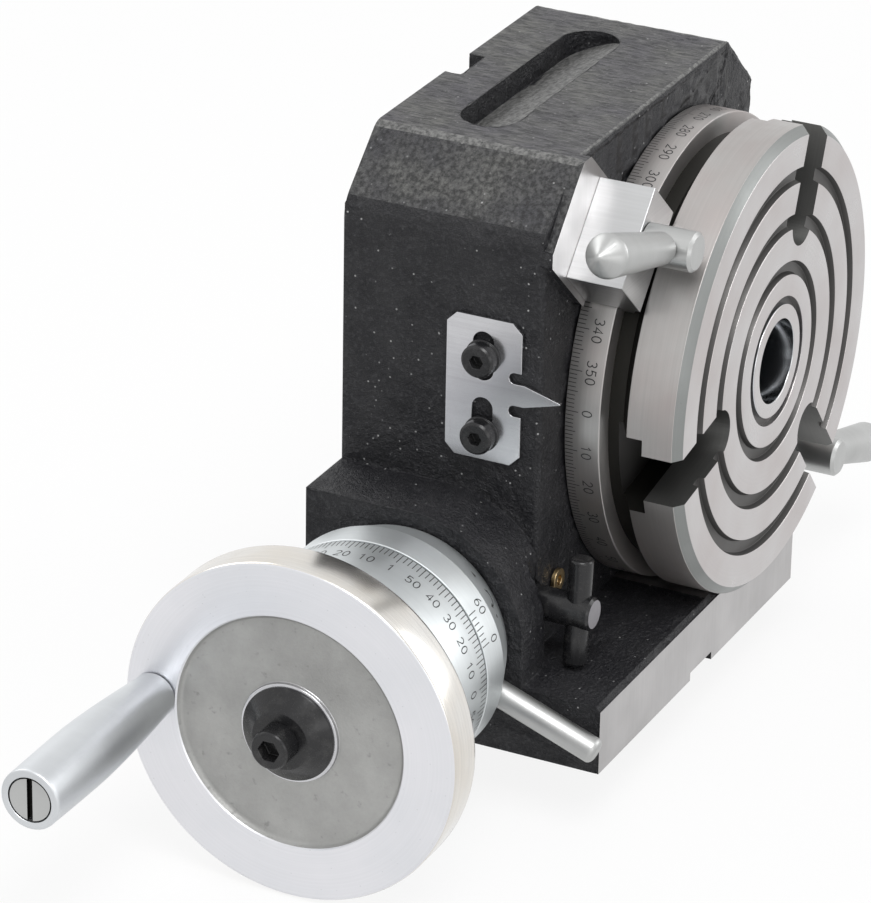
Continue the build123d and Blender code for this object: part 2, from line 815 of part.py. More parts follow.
with BuildPart() as index_screws:
    head_right = body_left - index_thickness
    for screw_z in index_screw_z:
        head_left = head_right - index_head_height
        bar_x(index_screw_r, head_right, body_left + index_screw_length, index_slot_y, screw_z)
        turned_x(
            [
                (head_right, 0),
                (head_right, index_flange_r),
                (head_right - index_flange_height, index_flange_r),
                (head_right - index_flange_height, index_head_r),
                (head_left + index_head_edge, index_head_r),
                (head_left, index_head_r - index_head_edge),
                (head_left, 0),
            ],
            index_slot_y,
            screw_z,
        )
        socket_x(index_socket_r, head_left, index_socket_depth, index_slot_y, screw_z)
index_screws.part.label = "index_screws"
export_step(index_screws.part, "parts/index_screws.step")

# Ball oiler in the front of the casting
with BuildPart() as oil_nipple:
    bar_y(oiler_r, body_front - 1, body_front, oiler_x, oiler_z)
    bar_y(oiler_r - oiler_lip, body_front, body_front + oiler_length, oiler_x, oiler_z)
    bar_y(oiler_ball_r, body_front - 2, body_front, oiler_x, oiler_z, Mode.SUBTRACT)
oil_nipple.part.label = "oil_nipple"
export_step(oil_nipple.part, "parts/oil_nipple.step")

# Clamp blocks, their screws and their handles
for side, side_angle in clamp_angles.items():
    hub_x, hub_z = hub_place(side)
    with BuildPart() as clamp_block:
        radial_block(
            side_angle, clamp_inner_r, clamp_outer_r, clamp_half, clamp_front, clamp_back
        )
        clamp_radius = Vector(
            math.cos(math.radians(side_angle)), 0, math.sin(math.radians(side_angle))
        )
        nose_plane = Plane(
            origin=(0, 0, table_z),
            x_dir=(0, 1, 0),
            z_dir=Vector(0, 1, 0).cross(clamp_radius),
        )
        with BuildSketch(nose_plane):
            with BuildLine():
                Polyline(
                    (nose_front, clamp_inner_r + 0.5),
                    (nose_bend, nose_r),
                    (ring_front - free_gap, nose_r),
                    (ring_front - free_gap, clamp_inner_r + 0.5),
                    close=True,
                )
            make_face()
        extrude(amount=clamp_half - 1, both=True)
        bar_y(nose_r, clamp_front - 1, clamp_back + 1, mode=Mode.SUBTRACT)
        bar_y(clamp_thread_r + running_gap, clamp_front - 1, clamp_back + 1, hub_x, hub_z, Mode.SUBTRACT)
    clamp_block.part.label = f"clamp_block_{side}"
    export_step(clamp_block.part, f"parts/clamp_block_{side}.step")

    handle_angle = math.radians(side_angle + lever_angles[side])
    handle_plane = Plane(
        origin=(hub_x, lever_plane, hub_z),
        x_dir=(math.cos(handle_angle), 0, math.sin(handle_angle)),
        z_dir=(0, -1, 0),
    )
    with BuildPart() as clamp_screw:
        bar_y(clamp_thread_r, clamp_front - 1, clamp_thread_end, hub_x, hub_z)
        bar_y(lever_hub_r, lever_hub_front, clamp_front - 0.2, hub_x, hub_z)
        rim_edges = clamp_screw.edges().filter_by(GeomType.CIRCLE).sort_by(Axis.Y)[0]
        chamfer(rim_edges, lever_hub_chamfer)
        with BuildSketch(handle_plane) as stub_profile:
            with Locations((lever_hub_r / 2 + 1, (lever_pin_r + fixed_gap) / 2)):
                Rectangle(lever_hub_r + 2, lever_pin_r + fixed_gap)
        revolve(
            stub_profile.sketch,
            axis=Axis(handle_plane.origin, handle_plane.x_dir),
            mode=Mode.SUBTRACT,
        )
    clamp_screw.part.label = f"clamp_screw_{side}"
    export_step(clamp_screw.part, f"parts/clamp_screw_{side}.step")

    with BuildPart() as clamp_handle:
        with BuildSketch(handle_plane) as handle_profile:
            with BuildLine():
                Polyline(
                    (0.5, 0),
                    (0.5, lever_pin_r),
                    (lever_hub_r + 0.4, lever_pin_r),
                    (lever_hub_r + 0.4, lever_root_r - 0.5),
                    (lever_hub_r + 0.9, lever_root_r),
                    (lever_length - lever_cone, lever_end_r),
                    (lever_length - lever_cone + 0.8, lever_end_r - 0.5),
                    (lever_length - 0.8, lever_tip_r),
                    (lever_length, 0),
                    close=True,
                )
            make_face()
        revolve(handle_profile.sketch, axis=Axis(handle_plane.origin, handle_plane.x_dir))
    clamp_handle.part.label = f"clamp_handle_{side}"
    export_step(clamp_handle.part, f"parts/clamp_handle_{side}.step")

# Locking screw of the worm sleeve, its cross bar and the soft pad before it
with BuildPart() as lock_screw:
    bar_y(lock_r, lock_front, lock_back, lock_x, lock_z)
    chamfer(lock_screw.edges().filter_by(GeomType.CIRCLE).sort_by(Axis.Y)[0], 0.6)
    tilt = math.radians(lock_bar_tilt)
    bar_direction = (math.sin(tilt), 0, math.cos(tilt))
    with BuildSketch(Plane(origin=(lock_x, lock_bar_y, lock_z), z_dir=bar_direction)):
        Circle(lock_bar_r + fixed_gap)
    extrude(amount=2 * lock_r, both=True, mode=Mode.SUBTRACT)
lock_screw.part.label = "lock_screw"
export_step(lock_screw.part, "parts/lock_screw.step")

with BuildPart() as lock_bar:
    with BuildSketch(Plane(origin=(lock_x, lock_bar_y, lock_z), z_dir=bar_direction)):
        Circle(lock_bar_r)
    extrude(amount=lock_bar_length / 2, both=True)
    fillet(lock_bar.edges().filter_by(GeomType.CIRCLE), 0.8)
lock_bar.part.label = "lock_bar"
export_step(lock_bar.part, "parts/lock_bar.step")

with BuildPart() as lock_pad:
    bar_y(lock_r, lock_back + free_gap, lock_pad_back, lock_x, lock_z)
lock_pad.part.label = "lock_pad"
export_step(lock_pad.part, "parts/lock_pad.step")

# Eccentric sleeve: turning it lowers the worm out of the wheel
with BuildPart() as eccentric_sleeve:
    bar_x(sleeve_r, flange_right, sleeve_end, y=sleeve_y)
    bar_x(flange_r, flange_left, flange_right)
    bar_x(sleeve_bore_r, flange_left - 1, sleeve_end + 1, mode=Mode.SUBTRACT)
    bar_x(nut_pocket_r, flange_left - 1, nut_pocket_right, mode=Mode.SUBTRACT)
    with BuildSketch(Plane.XY.offset(worm_z - 0.5)):
        with Locations((0, sleeve_y)):
            Rectangle(2 * sleeve_window, 4 * sleeve_r)
    extrude(amount=2 * sleeve_r, mode=Mode.SUBTRACT)
eccentric_sleeve.part.label = "eccentric_sleeve"
export_step(eccentric_sleeve.part, "parts/eccentric_sleeve.step")

for name, bush_left, bush_right in (
    ("worm_bush_front", nut_pocket_right, front_bush_right),
    ("worm_bush_rear", rear_bush_left, sleeve_end),
):
    with BuildPart() as worm_bush:
        bar_x(sleeve_bore_r - fixed_gap, bush_left, bush_right)
        bar_x(shaft_r + running_gap, bush_left - 1, bush_right + 1, mode=Mode.SUBTRACT)
    worm_bush.part.label = name
    export_step(worm_bush.part, f"parts/{name}.step")

# Vernier collar round the sleeve flange, with its set screws and lever
lever_angle = math.radians(engage_angle)
lever_direction = (0, -math.cos(lever_angle), -math.sin(lever_angle))
with BuildPart() as vernier_collar:
    turned_x([
        (flange_right, flange_r + fixed_gap),
        (flange_right, collar_small_r),
        (collar_cone_left, collar_r),
        (collar_left, collar_r),
        (collar_left, collar_bore_r),
        (flange_left, collar_bore_r),
        (flange_left, flange_r + fixed_gap),
    ])
    with BuildSketch(Plane(origin=(engage_x, 0, worm_z), z_dir=lever_direction)):
        Circle(engage_r + fixed_gap)
    extrude(amount=2 * collar_r, mode=Mode.SUBTRACT)
    for angle in collar_screw_angles:
        spot = math.radians(angle)
        spot_direction = (0, math.cos(spot), -math.sin(spot))
        with BuildSketch(Plane(origin=(collar_screw_x, 0, worm_z), z_dir=spot_direction)):
            Circle(small_screw_r + fixed_gap)
        extrude(amount=2 * collar_r, mode=Mode.SUBTRACT)
vernier_collar.part.label = "vernier_collar"
export_step(vernier_collar.part, "parts/vernier_collar.step")

with BuildPart() as collar_screws:
    for angle in collar_screw_angles:
        spot = math.radians(angle)
        spot_direction = Vector(0, math.cos(spot), -math.sin(spot))
        screw_start = Vector(collar_screw_x, 0, worm_z)
        screw_start = screw_start + spot_direction * (flange_r + 2 * fixed_gap)
        with BuildSketch(Plane(origin=screw_start, z_dir=spot_direction)):
            Circle(small_screw_r)
        extrude(amount=collar_screw_length)
collar_screws.part.label = "collar_screws"
export_step(collar_screws.part, "parts/collar_screws.step")

with BuildPart() as engage_lever:
    lever_start = Vector(engage_x, 0, worm_z) + Vector(*lever_direction) * (flange_r + 0.2)
    with BuildSketch(Plane(origin=lever_start, z_dir=lever_direction)):
        Circle(engage_r)
    extrude(amount=engage_tip_r - flange_r - 0.2)
    far_rim = engage_lever.edges().filter_by(GeomType.CIRCLE).sort_by(Axis.Y)[0]
    fillet(far_rim, engage_round)
engage_lever.part.label = "engage_lever"
export_step(engage_lever.part, "parts/engage_lever.step")

# Thrust washer and adjusting nut on the worm shaft
with BuildPart() as worm_washer:
    bar_x(adjust_nut_r, washer_left, nut_pocket_right - free_gap)
    bar_x(shaft_r + fixed_gap, washer_left - 1, nut_pocket_right, mode=Mode.SUBTRACT)
worm_washer.part.label = "worm_washer"
export_step(worm_washer.part, "parts/worm_washer.step")

with BuildPart() as adjust_nut:
    bar_x(adjust_nut_r, adjust_nut_left, washer_left)
    bar_x(shaft_r + fixed_gap, adjust_nut_left - 1, washer_left + 1, mode=Mode.SUBTRACT)
    for quarter in range(2):
        with BuildSketch(side_plane(adjust_nut_left - 1)):
            with Locations((0, worm_z)):
                Rectangle(3, 4 * adjust_nut_r, rotation=90 * quarter)
        extrude(amount=2.5, mode=Mode.SUBTRACT)
adjust_nut.part.label = "adjust_nut"
export_step(adjust_nut.part, "parts/adjust_nut.step")

# Graduated dial on the handwheel hub, with its set screw
with BuildPart() as graduated_dial:
    turned_x([
        (dial_right, handwheel_hub_r + fixed_gap),
        (dial_right, dial_r - dial_edge),
        (dial_right - dial_edge, dial_r),
        (dial_left + 1, dial_r),
        (dial_left, dial_r - 1),
        (dial_left, handwheel_hub_r + fixed_gap),
    ])
    with BuildSketch(Plane(origin=(dial_screw_x, 0, worm_z), z_dir=(0, 0, -1))):
        Circle(dial_screw_r + fixed_gap)
    extrude(amount=2 * dial_r, mode=Mode.SUBTRACT)
graduated_dial.part.label = "graduated_dial"
export_step(graduated_dial.part, "parts/graduated_dial.step")

with BuildPart() as dial_screw:
    screw_top = worm_z - handwheel_hub_r - 3 * fixed_gap
    with BuildSketch(Plane(origin=(dial_screw_x, 0, screw_top), z_dir=(0, 0, -1))):
        Circle(dial_screw_r)
    extrude(amount=dial_r - handwheel_hub_r - 1)
    with BuildSketch(Plane(origin=(dial_screw_x, 0, worm_z - dial_r), z_dir=(0, 0, 1))):
        RegularPolygon(dial_socket_r, 6)
    extrude(amount=dial_socket_depth, mode=Mode.SUBTRACT)
dial_screw.part.label = "dial_screw"
export_step(dial_screw.part, "parts/dial_screw.step")

# Handwheel: hub, dished web and heavy rim
with BuildPart() as handwheel:
    turned_x([
        (wheel_hub_left, shaft_r + fixed_gap),
        (wheel_hub_left, wheel_boss_r - 0.5),
        (wheel_hub_left + 0.5, wheel_boss_r),
        (web_left, wheel_boss_r),
        (web_left, rim_inner_r - 0.6),
        (rim_left + 0.4, rim_inner_r),
        (rim_left, rim_inner_r + 0.4),
        (rim_left, rim_r - rim_round),
        (rim_left + rim_facet, rim_r - rim_facet),
        (rim_left + rim_round, rim_r),
        (rim_right - rim_round, rim_r),
        (rim_right - rim_facet, rim_r - rim_facet),
        (rim_right, rim_r - rim_round),
        (rim_right, rim_inner_r),
        (web_right, rim_inner_r - 1.3),
        (web_right, handwheel_hub_r + 1.2),
        (web_right + 1.2, handwheel_hub_r),
        (wheel_hub_right, handwheel_hub_r),
        (wheel_hub_right, shaft_r + fixed_gap),
    ])
    bar_x(pivot_r + fixed_gap, rim_left - 1, pivot_right + 0.5, handle_y, handle_z, Mode.SUBTRACT)
    with BuildSketch(Plane.XY.offset(worm_z)):
        with Locations(((wheel_hub_left + rim_right) / 2, 0)):
            Rectangle(rim_right - wheel_hub_left + 2, shaft_key_width)
    extrude(amount=shaft_r + shaft_key_width / 2, mode=Mode.SUBTRACT)
handwheel.part.label = "handwheel"
export_step(handwheel.part, "parts/handwheel.step")

with BuildPart() as handwheel_key:
    key_length = rim_right - shaft_left - 0.5
    key_floor = worm_z + shaft_r - shaft_key_width / 2
    with BuildSketch(Plane.XY.offset(key_floor + fixed_gap)):
        with Locations((shaft_left + 0.2 + key_length / 2, 0)):
            Rectangle(key_length, shaft_key_width - 2 * fixed_gap)
    extrude(amount=shaft_key_width - 2 * fixed_gap)
handwheel_key.part.label = "handwheel_key"
export_step(handwheel_key.part, "parts/handwheel_key.step")

# Conical washer and cap screw on the end of the shaft
with BuildPart() as hub_washer:
    turned_x([
        (hub_washer_left, cap_thread_r + 0.2),
        (hub_washer_left, hub_washer_small_r),
        (wheel_hub_left - 0.5, hub_washer_r),
        (wheel_hub_left, hub_washer_r),
        (wheel_hub_left, cap_thread_r + 0.2),
    ])
hub_washer.part.label = "hub_washer"
export_step(hub_washer.part, "parts/hub_washer.step")

with BuildPart() as cap_screw:
    bar_x(cap_thread_r, cap_head_left + 1, cap_thread_end)
    turned_x([
        (cap_head_left, 0),
        (cap_head_left, cap_head_r - cap_edge),
        (cap_head_left + cap_edge, cap_head_r),
        (hub_washer_left, cap_head_r),
        (hub_washer_left, 0),
    ])
    socket_x(cap_socket_r, cap_head_left, cap_socket_depth, 0.0, worm_z)
cap_screw.part.label = "cap_screw"
export_step(cap_screw.part, "parts/cap_screw.step")

# Turning handle, and the slotted screw that it turns on
with BuildPart() as handle:
    profile_plane = Plane(origin=(0, handle_y, handle_z), x_dir=(1, 0, 0), z_dir=(0, -1, 0))
    with BuildSketch(profile_plane) as handle_outline:
        with BuildLine():
            Polyline(
                (handle_left + pivot_head_depth, pivot_r + running_gap),
                (handle_left + pivot_head_depth, pivot_head_r + free_gap),
                (handle_left, pivot_head_r + free_gap),
                (handle_left, handle_end_r - 1.2),
            )
            Spline(
                (handle_left, handle_end_r - 1.2),
                (handle_left + handle_dome, handle_end_r),
                (handle_belly_x, handle_belly_r),
                (handle_right - handle_shoulder, handle_neck_r + handle_shoulder_rise),
                (handle_right - handle_collar, handle_neck_r),
                tangents=((0.3, 1), (1, 0)),
            )
            Polyline(
                (handle_right - handle_collar, handle_neck_r),
                (handle_right, handle_neck_r),
                (handle_right, pivot_r + running_gap),
                (handle_left + pivot_head_depth, pivot_r + running_gap),
            )
        make_face()
    revolve(handle_outline.sketch, axis=Axis((0, handle_y, handle_z), (1, 0, 0)))
handle.part.label = "handle"
export_step(handle.part, "parts/handle.step")

with BuildPart() as handle_screw:
    bar_x(pivot_r, handle_left + 1, pivot_right, handle_y, handle_z)
    bar_x(
        pivot_head_r, handle_left + 0.2, handle_left + pivot_head_depth - free_gap,
        handle_y, handle_z,
    )
    with BuildSketch(side_plane(handle_left - 1)):
        with Locations((handle_y, handle_z)):
            Rectangle(pivot_slot_width, 4 * pivot_head_r)
    extrude(amount=1 + pivot_slot_depth, mode=Mode.SUBTRACT)
handle_screw.part.label = "handle_screw"
export_step(handle_screw.part, "parts/handle_screw.step")
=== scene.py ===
"""Looks of the upright rotary table: finishes, engraved scales and soft studio light.

Lengths in the named values are millimetres in the part's own frame; mm() turns them to metres.
The table turns about an axis along Y, the worm about an axis along X.
"""
import json
import math

import bmesh
import bpy
from mathutils import Matrix, Vector, noise


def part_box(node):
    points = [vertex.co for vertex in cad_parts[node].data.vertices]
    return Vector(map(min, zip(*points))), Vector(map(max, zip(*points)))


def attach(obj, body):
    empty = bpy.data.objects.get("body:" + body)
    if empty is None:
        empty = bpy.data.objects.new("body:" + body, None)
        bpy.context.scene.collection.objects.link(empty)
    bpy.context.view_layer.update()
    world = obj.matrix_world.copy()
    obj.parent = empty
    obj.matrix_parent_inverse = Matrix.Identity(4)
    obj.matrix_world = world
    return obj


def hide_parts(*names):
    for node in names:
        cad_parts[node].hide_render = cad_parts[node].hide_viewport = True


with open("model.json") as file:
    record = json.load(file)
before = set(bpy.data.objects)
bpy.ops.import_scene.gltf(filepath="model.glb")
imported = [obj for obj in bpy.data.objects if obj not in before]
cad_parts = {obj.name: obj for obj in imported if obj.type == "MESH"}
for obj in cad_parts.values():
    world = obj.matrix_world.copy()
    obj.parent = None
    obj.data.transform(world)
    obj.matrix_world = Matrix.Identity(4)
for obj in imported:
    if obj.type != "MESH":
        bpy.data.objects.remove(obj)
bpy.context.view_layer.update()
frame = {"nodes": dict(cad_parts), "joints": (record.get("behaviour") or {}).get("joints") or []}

MM = 0.001


def node_box(node):
    """Lowest and highest corner of a node, in millimetres."""
    low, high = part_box(node)
    return low / MM, high / MM


# Main axes and places, from the frame
joint_of = {joint["name"]: joint for joint in frame["joints"]}
table_z = joint_of["table_spin"]["pos_m"][2] / MM
worm_z = joint_of["worm_spin"]["pos_m"][2] / MM
plate_low, plate_high = node_box("faceplate")
ring_low, ring_high = node_box("graduated_ring")
collar_low, collar_high = node_box("vernier_collar")
dial_low, dial_high = node_box("graduated_dial")
wheel_low, wheel_high = node_box("handwheel")
casting_low, casting_high = node_box("base_casting")
handle_low, handle_high = node_box("handle")
pad_front = node_box("clamp_block_near")[1].y

# Sizes of the turned pieces
plate_front = plate_low.y
plate_r = (plate_high.x - plate_low.x) / 2
ring_r = (ring_high.x - ring_low.x) / 2
dial_r = (dial_high.y - dial_low.y) / 2
wheel_r = (wheel_high.y - wheel_low.y) / 2

# Camera, fitted to the view
image_width = 871
image_height = 903
camera_place = Vector((-1001.142, -452.213, 554.322))
camera_azimuth = -63.969
camera_elevation = 25.619
camera_roll = 1.024
focal_pixels = 5140.27
centre_x = 428.902
centre_y = 470.419
sensor = 36.0

# Body of the casting with its cut top corners
body_half = 57.35
body_middle = -9.65
cut_wide = 15.4
cut_high = 14.2
low_corner_round = 8.0
high_corner_round = 5.0
corners_beyond = 36
corners_within = 22

# Finishes of the casting: material indices and where they lie
ROUGH, STREAKY, MACHINED, SPECKLED, EDGE_HIGHLIGHT = range(5)
table_seat_r = 57
worm_seat_r = 22
top_band = 16
# Tilts that sort the upward faces, whose paler paints are painted light from above
level_tilt, edge_tilt, cut_tilt = 0.985, 0.80, 0.62
grid_spacing = 1.7
deepest_lump = 0.7
lump_crease = 48

# Sizes of the faceplate
bore_r = 13.52
register_r = 15.3
register_depth = 1.5
groove_radii = ((20.3, 23.6), (31.2, 34.8), (42.0, 45.7))
groove_draft = 0.5
plate_chamfer = 2.0
rim_depth = 13.0
land_depth = 16.0
land_r = 50.0
ring_seat_r = 44.0
slot_angles = (69.6, 189.6, 309.6)
slot_half = 6.0
slot_neck = 9.2
tee_half = 9.8
tee_depth = 17.0
slot_end = 33.0
past_rim = 60.0
plate_crease = 40

# Scales
zero_angle = 175.9
dial_zero_angle = 177.6
dial_ticks = 150
figure_stroke = 0.27
tick_stroke = 0.2
proud = 0.02

# Floor
floor_half = 3.0
floor_gap = 0.4


def mm(*values):
    """Point in metres from millimetres."""
    return Vector(values) * MM


# Materials


class Paint:
    """A material under construction: a Principled shader and its nodes."""

    def __init__(self, name):
        self.material = bpy.data.materials.new(name)
        self.material.use_nodes = True
        self.tree = self.material.node_tree
        self.shader = self.tree.nodes["Principled BSDF"]
        self.place = self.add("ShaderNodeTexCoord").outputs["Object"]

    def add(self, kind, **settings):
        """New node with its settings."""
        node = self.tree.nodes.new(kind)
        for name, value in settings.items():
            setattr(node, name, value)
        return node

    def link(self, source, target):
        self.tree.links.new(source, target)

    def stretched(self, scale):
        """Object coordinates in millimetres, scaled by axis."""
        mapping = self.add("ShaderNodeMapping")
        mapping.inputs["Scale"].default_value = tuple(s / MM for s in scale)
        self.link(self.place, mapping.inputs["Vector"])
        return mapping.outputs["Vector"]

    def noise(self, scale, detail=3.0, rough=0.5, vector=None, distortion=0.0):
        """Noise whose features are about 1/scale millimetres."""
        node = self.add("ShaderNodeTexNoise")
        node.inputs["Scale"].default_value = scale
        node.inputs["Detail"].default_value = detail
        node.inputs["Roughness"].default_value = rough
        node.inputs["Distortion"].default_value = distortion
        self.link(vector or self.stretched((1, 1, 1)), node.inputs["Vector"])
        return node.outputs["Fac"]

    def cells(self, scale):
        """Cells about 1/scale millimetres apart: distance to the nearest centre, and its colour."""
        node = self.add("ShaderNodeTexVoronoi", feature="F1")
        node.inputs["Scale"].default_value = scale
        self.link(self.stretched((1, 1, 1)), node.inputs["Vector"])
        return node.outputs["Distance"], node.outputs["Color"]

    def glints(self, scale, size, share):
        """Painted highlights: small bright spots in the colour, at most one per 1/scale
        millimetres, in a share of the places.
        """
        distance, colour = self.cells(scale)
        spot = self.remap(distance, size * 0.4, size, 1.0, 0.0)
        split = self.add("ShaderNodeSeparateColor")
        self.link(colour, split.inputs[0])
        bright = self.remap(split.outputs[0], 1 - share, 1.0, 0.0, 1.0)
        return self.combine("MULTIPLY", spot, bright)

    def remap(self, value, low, high, to_low, to_high):
        """Value carried from one range to another, and held inside it."""
        node = self.add("ShaderNodeMapRange")
        node.inputs["From Min"].default_value = low
        node.inputs["From Max"].default_value = high
        node.inputs["To Min"].default_value = to_low
        node.inputs["To Max"].default_value = to_high
        self.link(value, node.inputs["Value"])
        return node.outputs["Result"]

    def mix(self, factor, first, second):
        """Colour between two, each a colour or a socket."""
        node = self.add("ShaderNodeMix", data_type="RGBA")
        self.link(factor, node.inputs[0])
        for socket, colour in ((node.inputs[6], first), (node.inputs[7], second)):
            if isinstance(colour, tuple):
                socket.default_value = (*colour, 1)
            else:
                self.link(colour, socket)
        return node.outputs[2]

    def combine(self, operation, first, second):
        """Sum, product or the like of two values, each a number or a socket."""
        node = self.add("ShaderNodeMath", operation=operation)
        for socket, value in ((node.inputs[0], first), (node.inputs[1], second)):
            if isinstance(value, (int, float)):
                socket.default_value = value
            else:
                self.link(value, socket)
        return node.outputs[0]

    def bump(self, height, strength, distance):
        """Bump of a height field; distance in millimetres."""
        node = self.add("ShaderNodeBump")
        node.inputs["Strength"].default_value = strength
        node.inputs["Distance"].default_value = distance * MM
        self.link(height, node.inputs["Height"])
        return node.outputs["Normal"]

    def surface(self, colour, roughness, metallic, normal=None, **sockets):
        """The finished material; further sockets are constants."""
        self.link(colour, self.shader.inputs["Base Color"])
        if isinstance(roughness, float):
            self.shader.inputs["Roughness"].default_value = roughness
        else:
            self.link(roughness, self.shader.inputs["Roughness"])
        self.shader.inputs["Metallic"].default_value = metallic
        if normal is not None:
            self.link(normal, self.shader.inputs["Normal"])
        for name, value in sockets.items():
            self.shader.inputs[name.replace("_", " ")].default_value = value
        return self.material


def rough_paint():
    """Black paint on rough cast iron: grain, paler patches, and small bright spots painted into the
    colour as highlights.
    """
    paint = Paint("rough_black_paint")
    grain = paint.noise(1.1, 3.0, 0.6)
    fine = paint.noise(3.2, 2.0, 0.6)
    patch = paint.remap(paint.noise(0.09, 4.0, 0.65), 0.38, 0.66, 0.0, 1.0)
    painted_glint = paint.glints(0.45, 0.13, 0.45)
    tone = paint.mix(patch, (0.0055, 0.0055, 0.0075), (0.016, 0.016, 0.018))
    worn = paint.mix(paint.remap(grain, 0.52, 0.72, 0.0, 0.6), tone, (0.05, 0.05, 0.054))
    # Painted highlights: bright grey spots mixed into the colour.
    colour = paint.mix(painted_glint, worn, (0.45, 0.45, 0.45))
    height = paint.combine("ADD", grain, paint.combine("MULTIPLY", fine, 0.45))
    normal = paint.bump(height, 0.95, 0.6)
    roughness = paint.remap(fine, 0.35, 0.7, 0.55, 0.36)
    return paint.surface(colour, roughness, 0.0, normal, Specular_IOR_Level=0.36)


def streaky_paint():
    """The same paint on the top, greyer as painted light from above, with its own fine wavy streaks
    along Y.
    """
    paint = Paint("streaky_black_paint")
    streaks = paint.noise(1.0, 3.0, 0.6, paint.stretched((1.25, 0.26, 1.0)), 0.6)
    grain = paint.noise(1.2, 3.0, 0.65)
    patch = paint.remap(paint.noise(0.06, 3.0, 0.6), 0.35, 0.65, 0.0, 1.0)
    painted_glint = paint.glints(0.5, 0.15, 0.4)
    dark = paint.mix(patch, (0.014, 0.014, 0.018), (0.028, 0.028, 0.028))
    pale = paint.mix(patch, (0.088, 0.085, 0.095), (0.125, 0.125, 0.118))
    colour = paint.mix(paint.remap(streaks, 0.36, 0.66, 0.0, 1.0), dark, pale)
    colour = paint.mix(paint.remap(grain, 0.58, 0.74, 0.0, 0.5), colour, (0.20, 0.20, 0.20))
    # Painted highlights: bright grey spots mixed into the colour.
    colour = paint.mix(painted_glint, colour, (0.38, 0.38, 0.38))
    height = paint.combine("ADD", streaks, paint.combine("MULTIPLY", grain, 0.7))
    return paint.surface(colour, 0.55, 0.0, paint.bump(height, 0.8, 0.5), Specular_IOR_Level=0.4)


def speckled_paint():
    """The paint on the cut corners: mottled grey and black, paler than the sides as painted light
    from above, with small bright spots painted in as highlights.
    """
    paint = Paint("speckled_black_paint")
    grain = paint.noise(0.85, 4.0, 0.7)
    patch = paint.remap(paint.noise(0.07, 3.0, 0.6), 0.35, 0.65, 0.0, 1.0)
    painted_glint = paint.glints(0.5, 0.15, 0.5)
    dark = paint.mix(patch, (0.007, 0.007, 0.009), (0.016, 0.016, 0.016))
    pale = paint.mix(patch, (0.055, 0.055, 0.06), (0.115, 0.115, 0.11))
    colour = paint.mix(paint.remap(grain, 0.40, 0.64, 0.0, 1.0), dark, pale)
    # Painted highlights: bright grey spots mixed into the colour.
    colour = paint.mix(painted_glint, colour, (0.42, 0.42, 0.42))
    return paint.surface(colour, 0.5, 0.0, paint.bump(grain, 0.9, 0.55), Specular_IOR_Level=0.4)


def worn_paint():
    """Painted highlight along the rounded edge between the top and the cut corners: paler grey,
    mottled by the grain.
    """
    paint = Paint("painted_edge_highlight")
    grain = paint.noise(0.9, 4.0, 0.65)
    highlight_mottle = paint.remap(grain, 0.38, 0.62, 0.0, 1.0)
    colour = paint.mix(highlight_mottle, (0.05, 0.05, 0.05), (0.19, 0.19, 0.185))
    return paint.surface(colour, 0.5, 0.0, paint.bump(grain, 0.7, 0.35), Specular_IOR_Level=0.4)


line_length, line_density = 0.02, 2.2


def shaded(colour, share):
    """Colour darkened to a share of itself."""
    return tuple(c * share for c in colour)


def turned_metal(name, colour, roughness, along, strength, warm=None, metallic=1.0,
                 contrast=0.22):
    """Metal with fine turned or ground lines across the axis named by along."""
    paint = Paint(name)
    squeeze = [line_length, line_length, line_length]
    squeeze["XYZ".index(along)] = line_density
    lines = paint.noise(1.0, 4.0, 0.7, paint.stretched(squeeze))
    smudge = paint.noise(0.045, 3.0, 0.6)
    tint = warm or shaded(colour, 0.86)
    blend = paint.mix(paint.remap(smudge, 0.35, 0.68, 0.0, 1.0), colour, tint)
    shade = paint.mix(paint.remap(lines, 0.35, 0.65, 0.0, contrast), blend, shaded(colour, 0.6))
    rough = paint.remap(smudge, 0.3, 0.7, roughness * 0.85, roughness * 1.25)
    normal = paint.bump(lines, strength, 0.02)
    return paint.surface(shade, rough, metallic, normal)


def ringed_metal(name, colour, roughness, centre, axis, strength, warm=None):
    """Metal with fine rings about a centre, as left by turning or grinding a face."""
    paint = Paint(name)
    shift = paint.add("ShaderNodeVectorMath", operation="SUBTRACT")
    shift.inputs[1].default_value = tuple(value * MM for value in centre)
    paint.link(paint.place, shift.inputs[0])
    flat = [1, 1, 1]
    flat["XYZ".index(axis)] = 0
    flatten = paint.add("ShaderNodeVectorMath", operation="MULTIPLY")
    flatten.inputs[1].default_value = tuple(flat)
    paint.link(shift.outputs[0], flatten.inputs[0])
    length = paint.add("ShaderNodeVectorMath", operation="LENGTH")
    paint.link(flatten.outputs[0], length.inputs[0])
    radius = paint.combine("MULTIPLY", length.outputs["Value"], 1 / MM)
    coordinate = paint.add("ShaderNodeCombineXYZ")
    paint.link(radius, coordinate.inputs[0])
    rings = paint.noise(2.0, 4.0, 0.7, coordinate.outputs[0])
    smudge = paint.noise(0.04, 3.0, 0.6)
    pits, _ = paint.cells(0.55)
    tint = warm or shaded(colour, 0.88)
    blend = paint.mix(paint.remap(smudge, 0.35, 0.68, 0.0, 1.0), colour, tint)
    shade = paint.mix(paint.remap(rings, 0.3, 0.7, 0.0, 0.2), blend, shaded(colour, 0.65))
    pit = paint.remap(pits, 0.0, 0.09, 0.5, 0.0)
    shade = paint.mix(pit, shade, shaded(colour, 0.35))
    rough = paint.remap(smudge, 0.3, 0.7, roughness * 0.85, roughness * 1.2)
    normal = paint.bump(rings, strength, 0.02)
    return paint.surface(shade, rough, 1.0, normal)


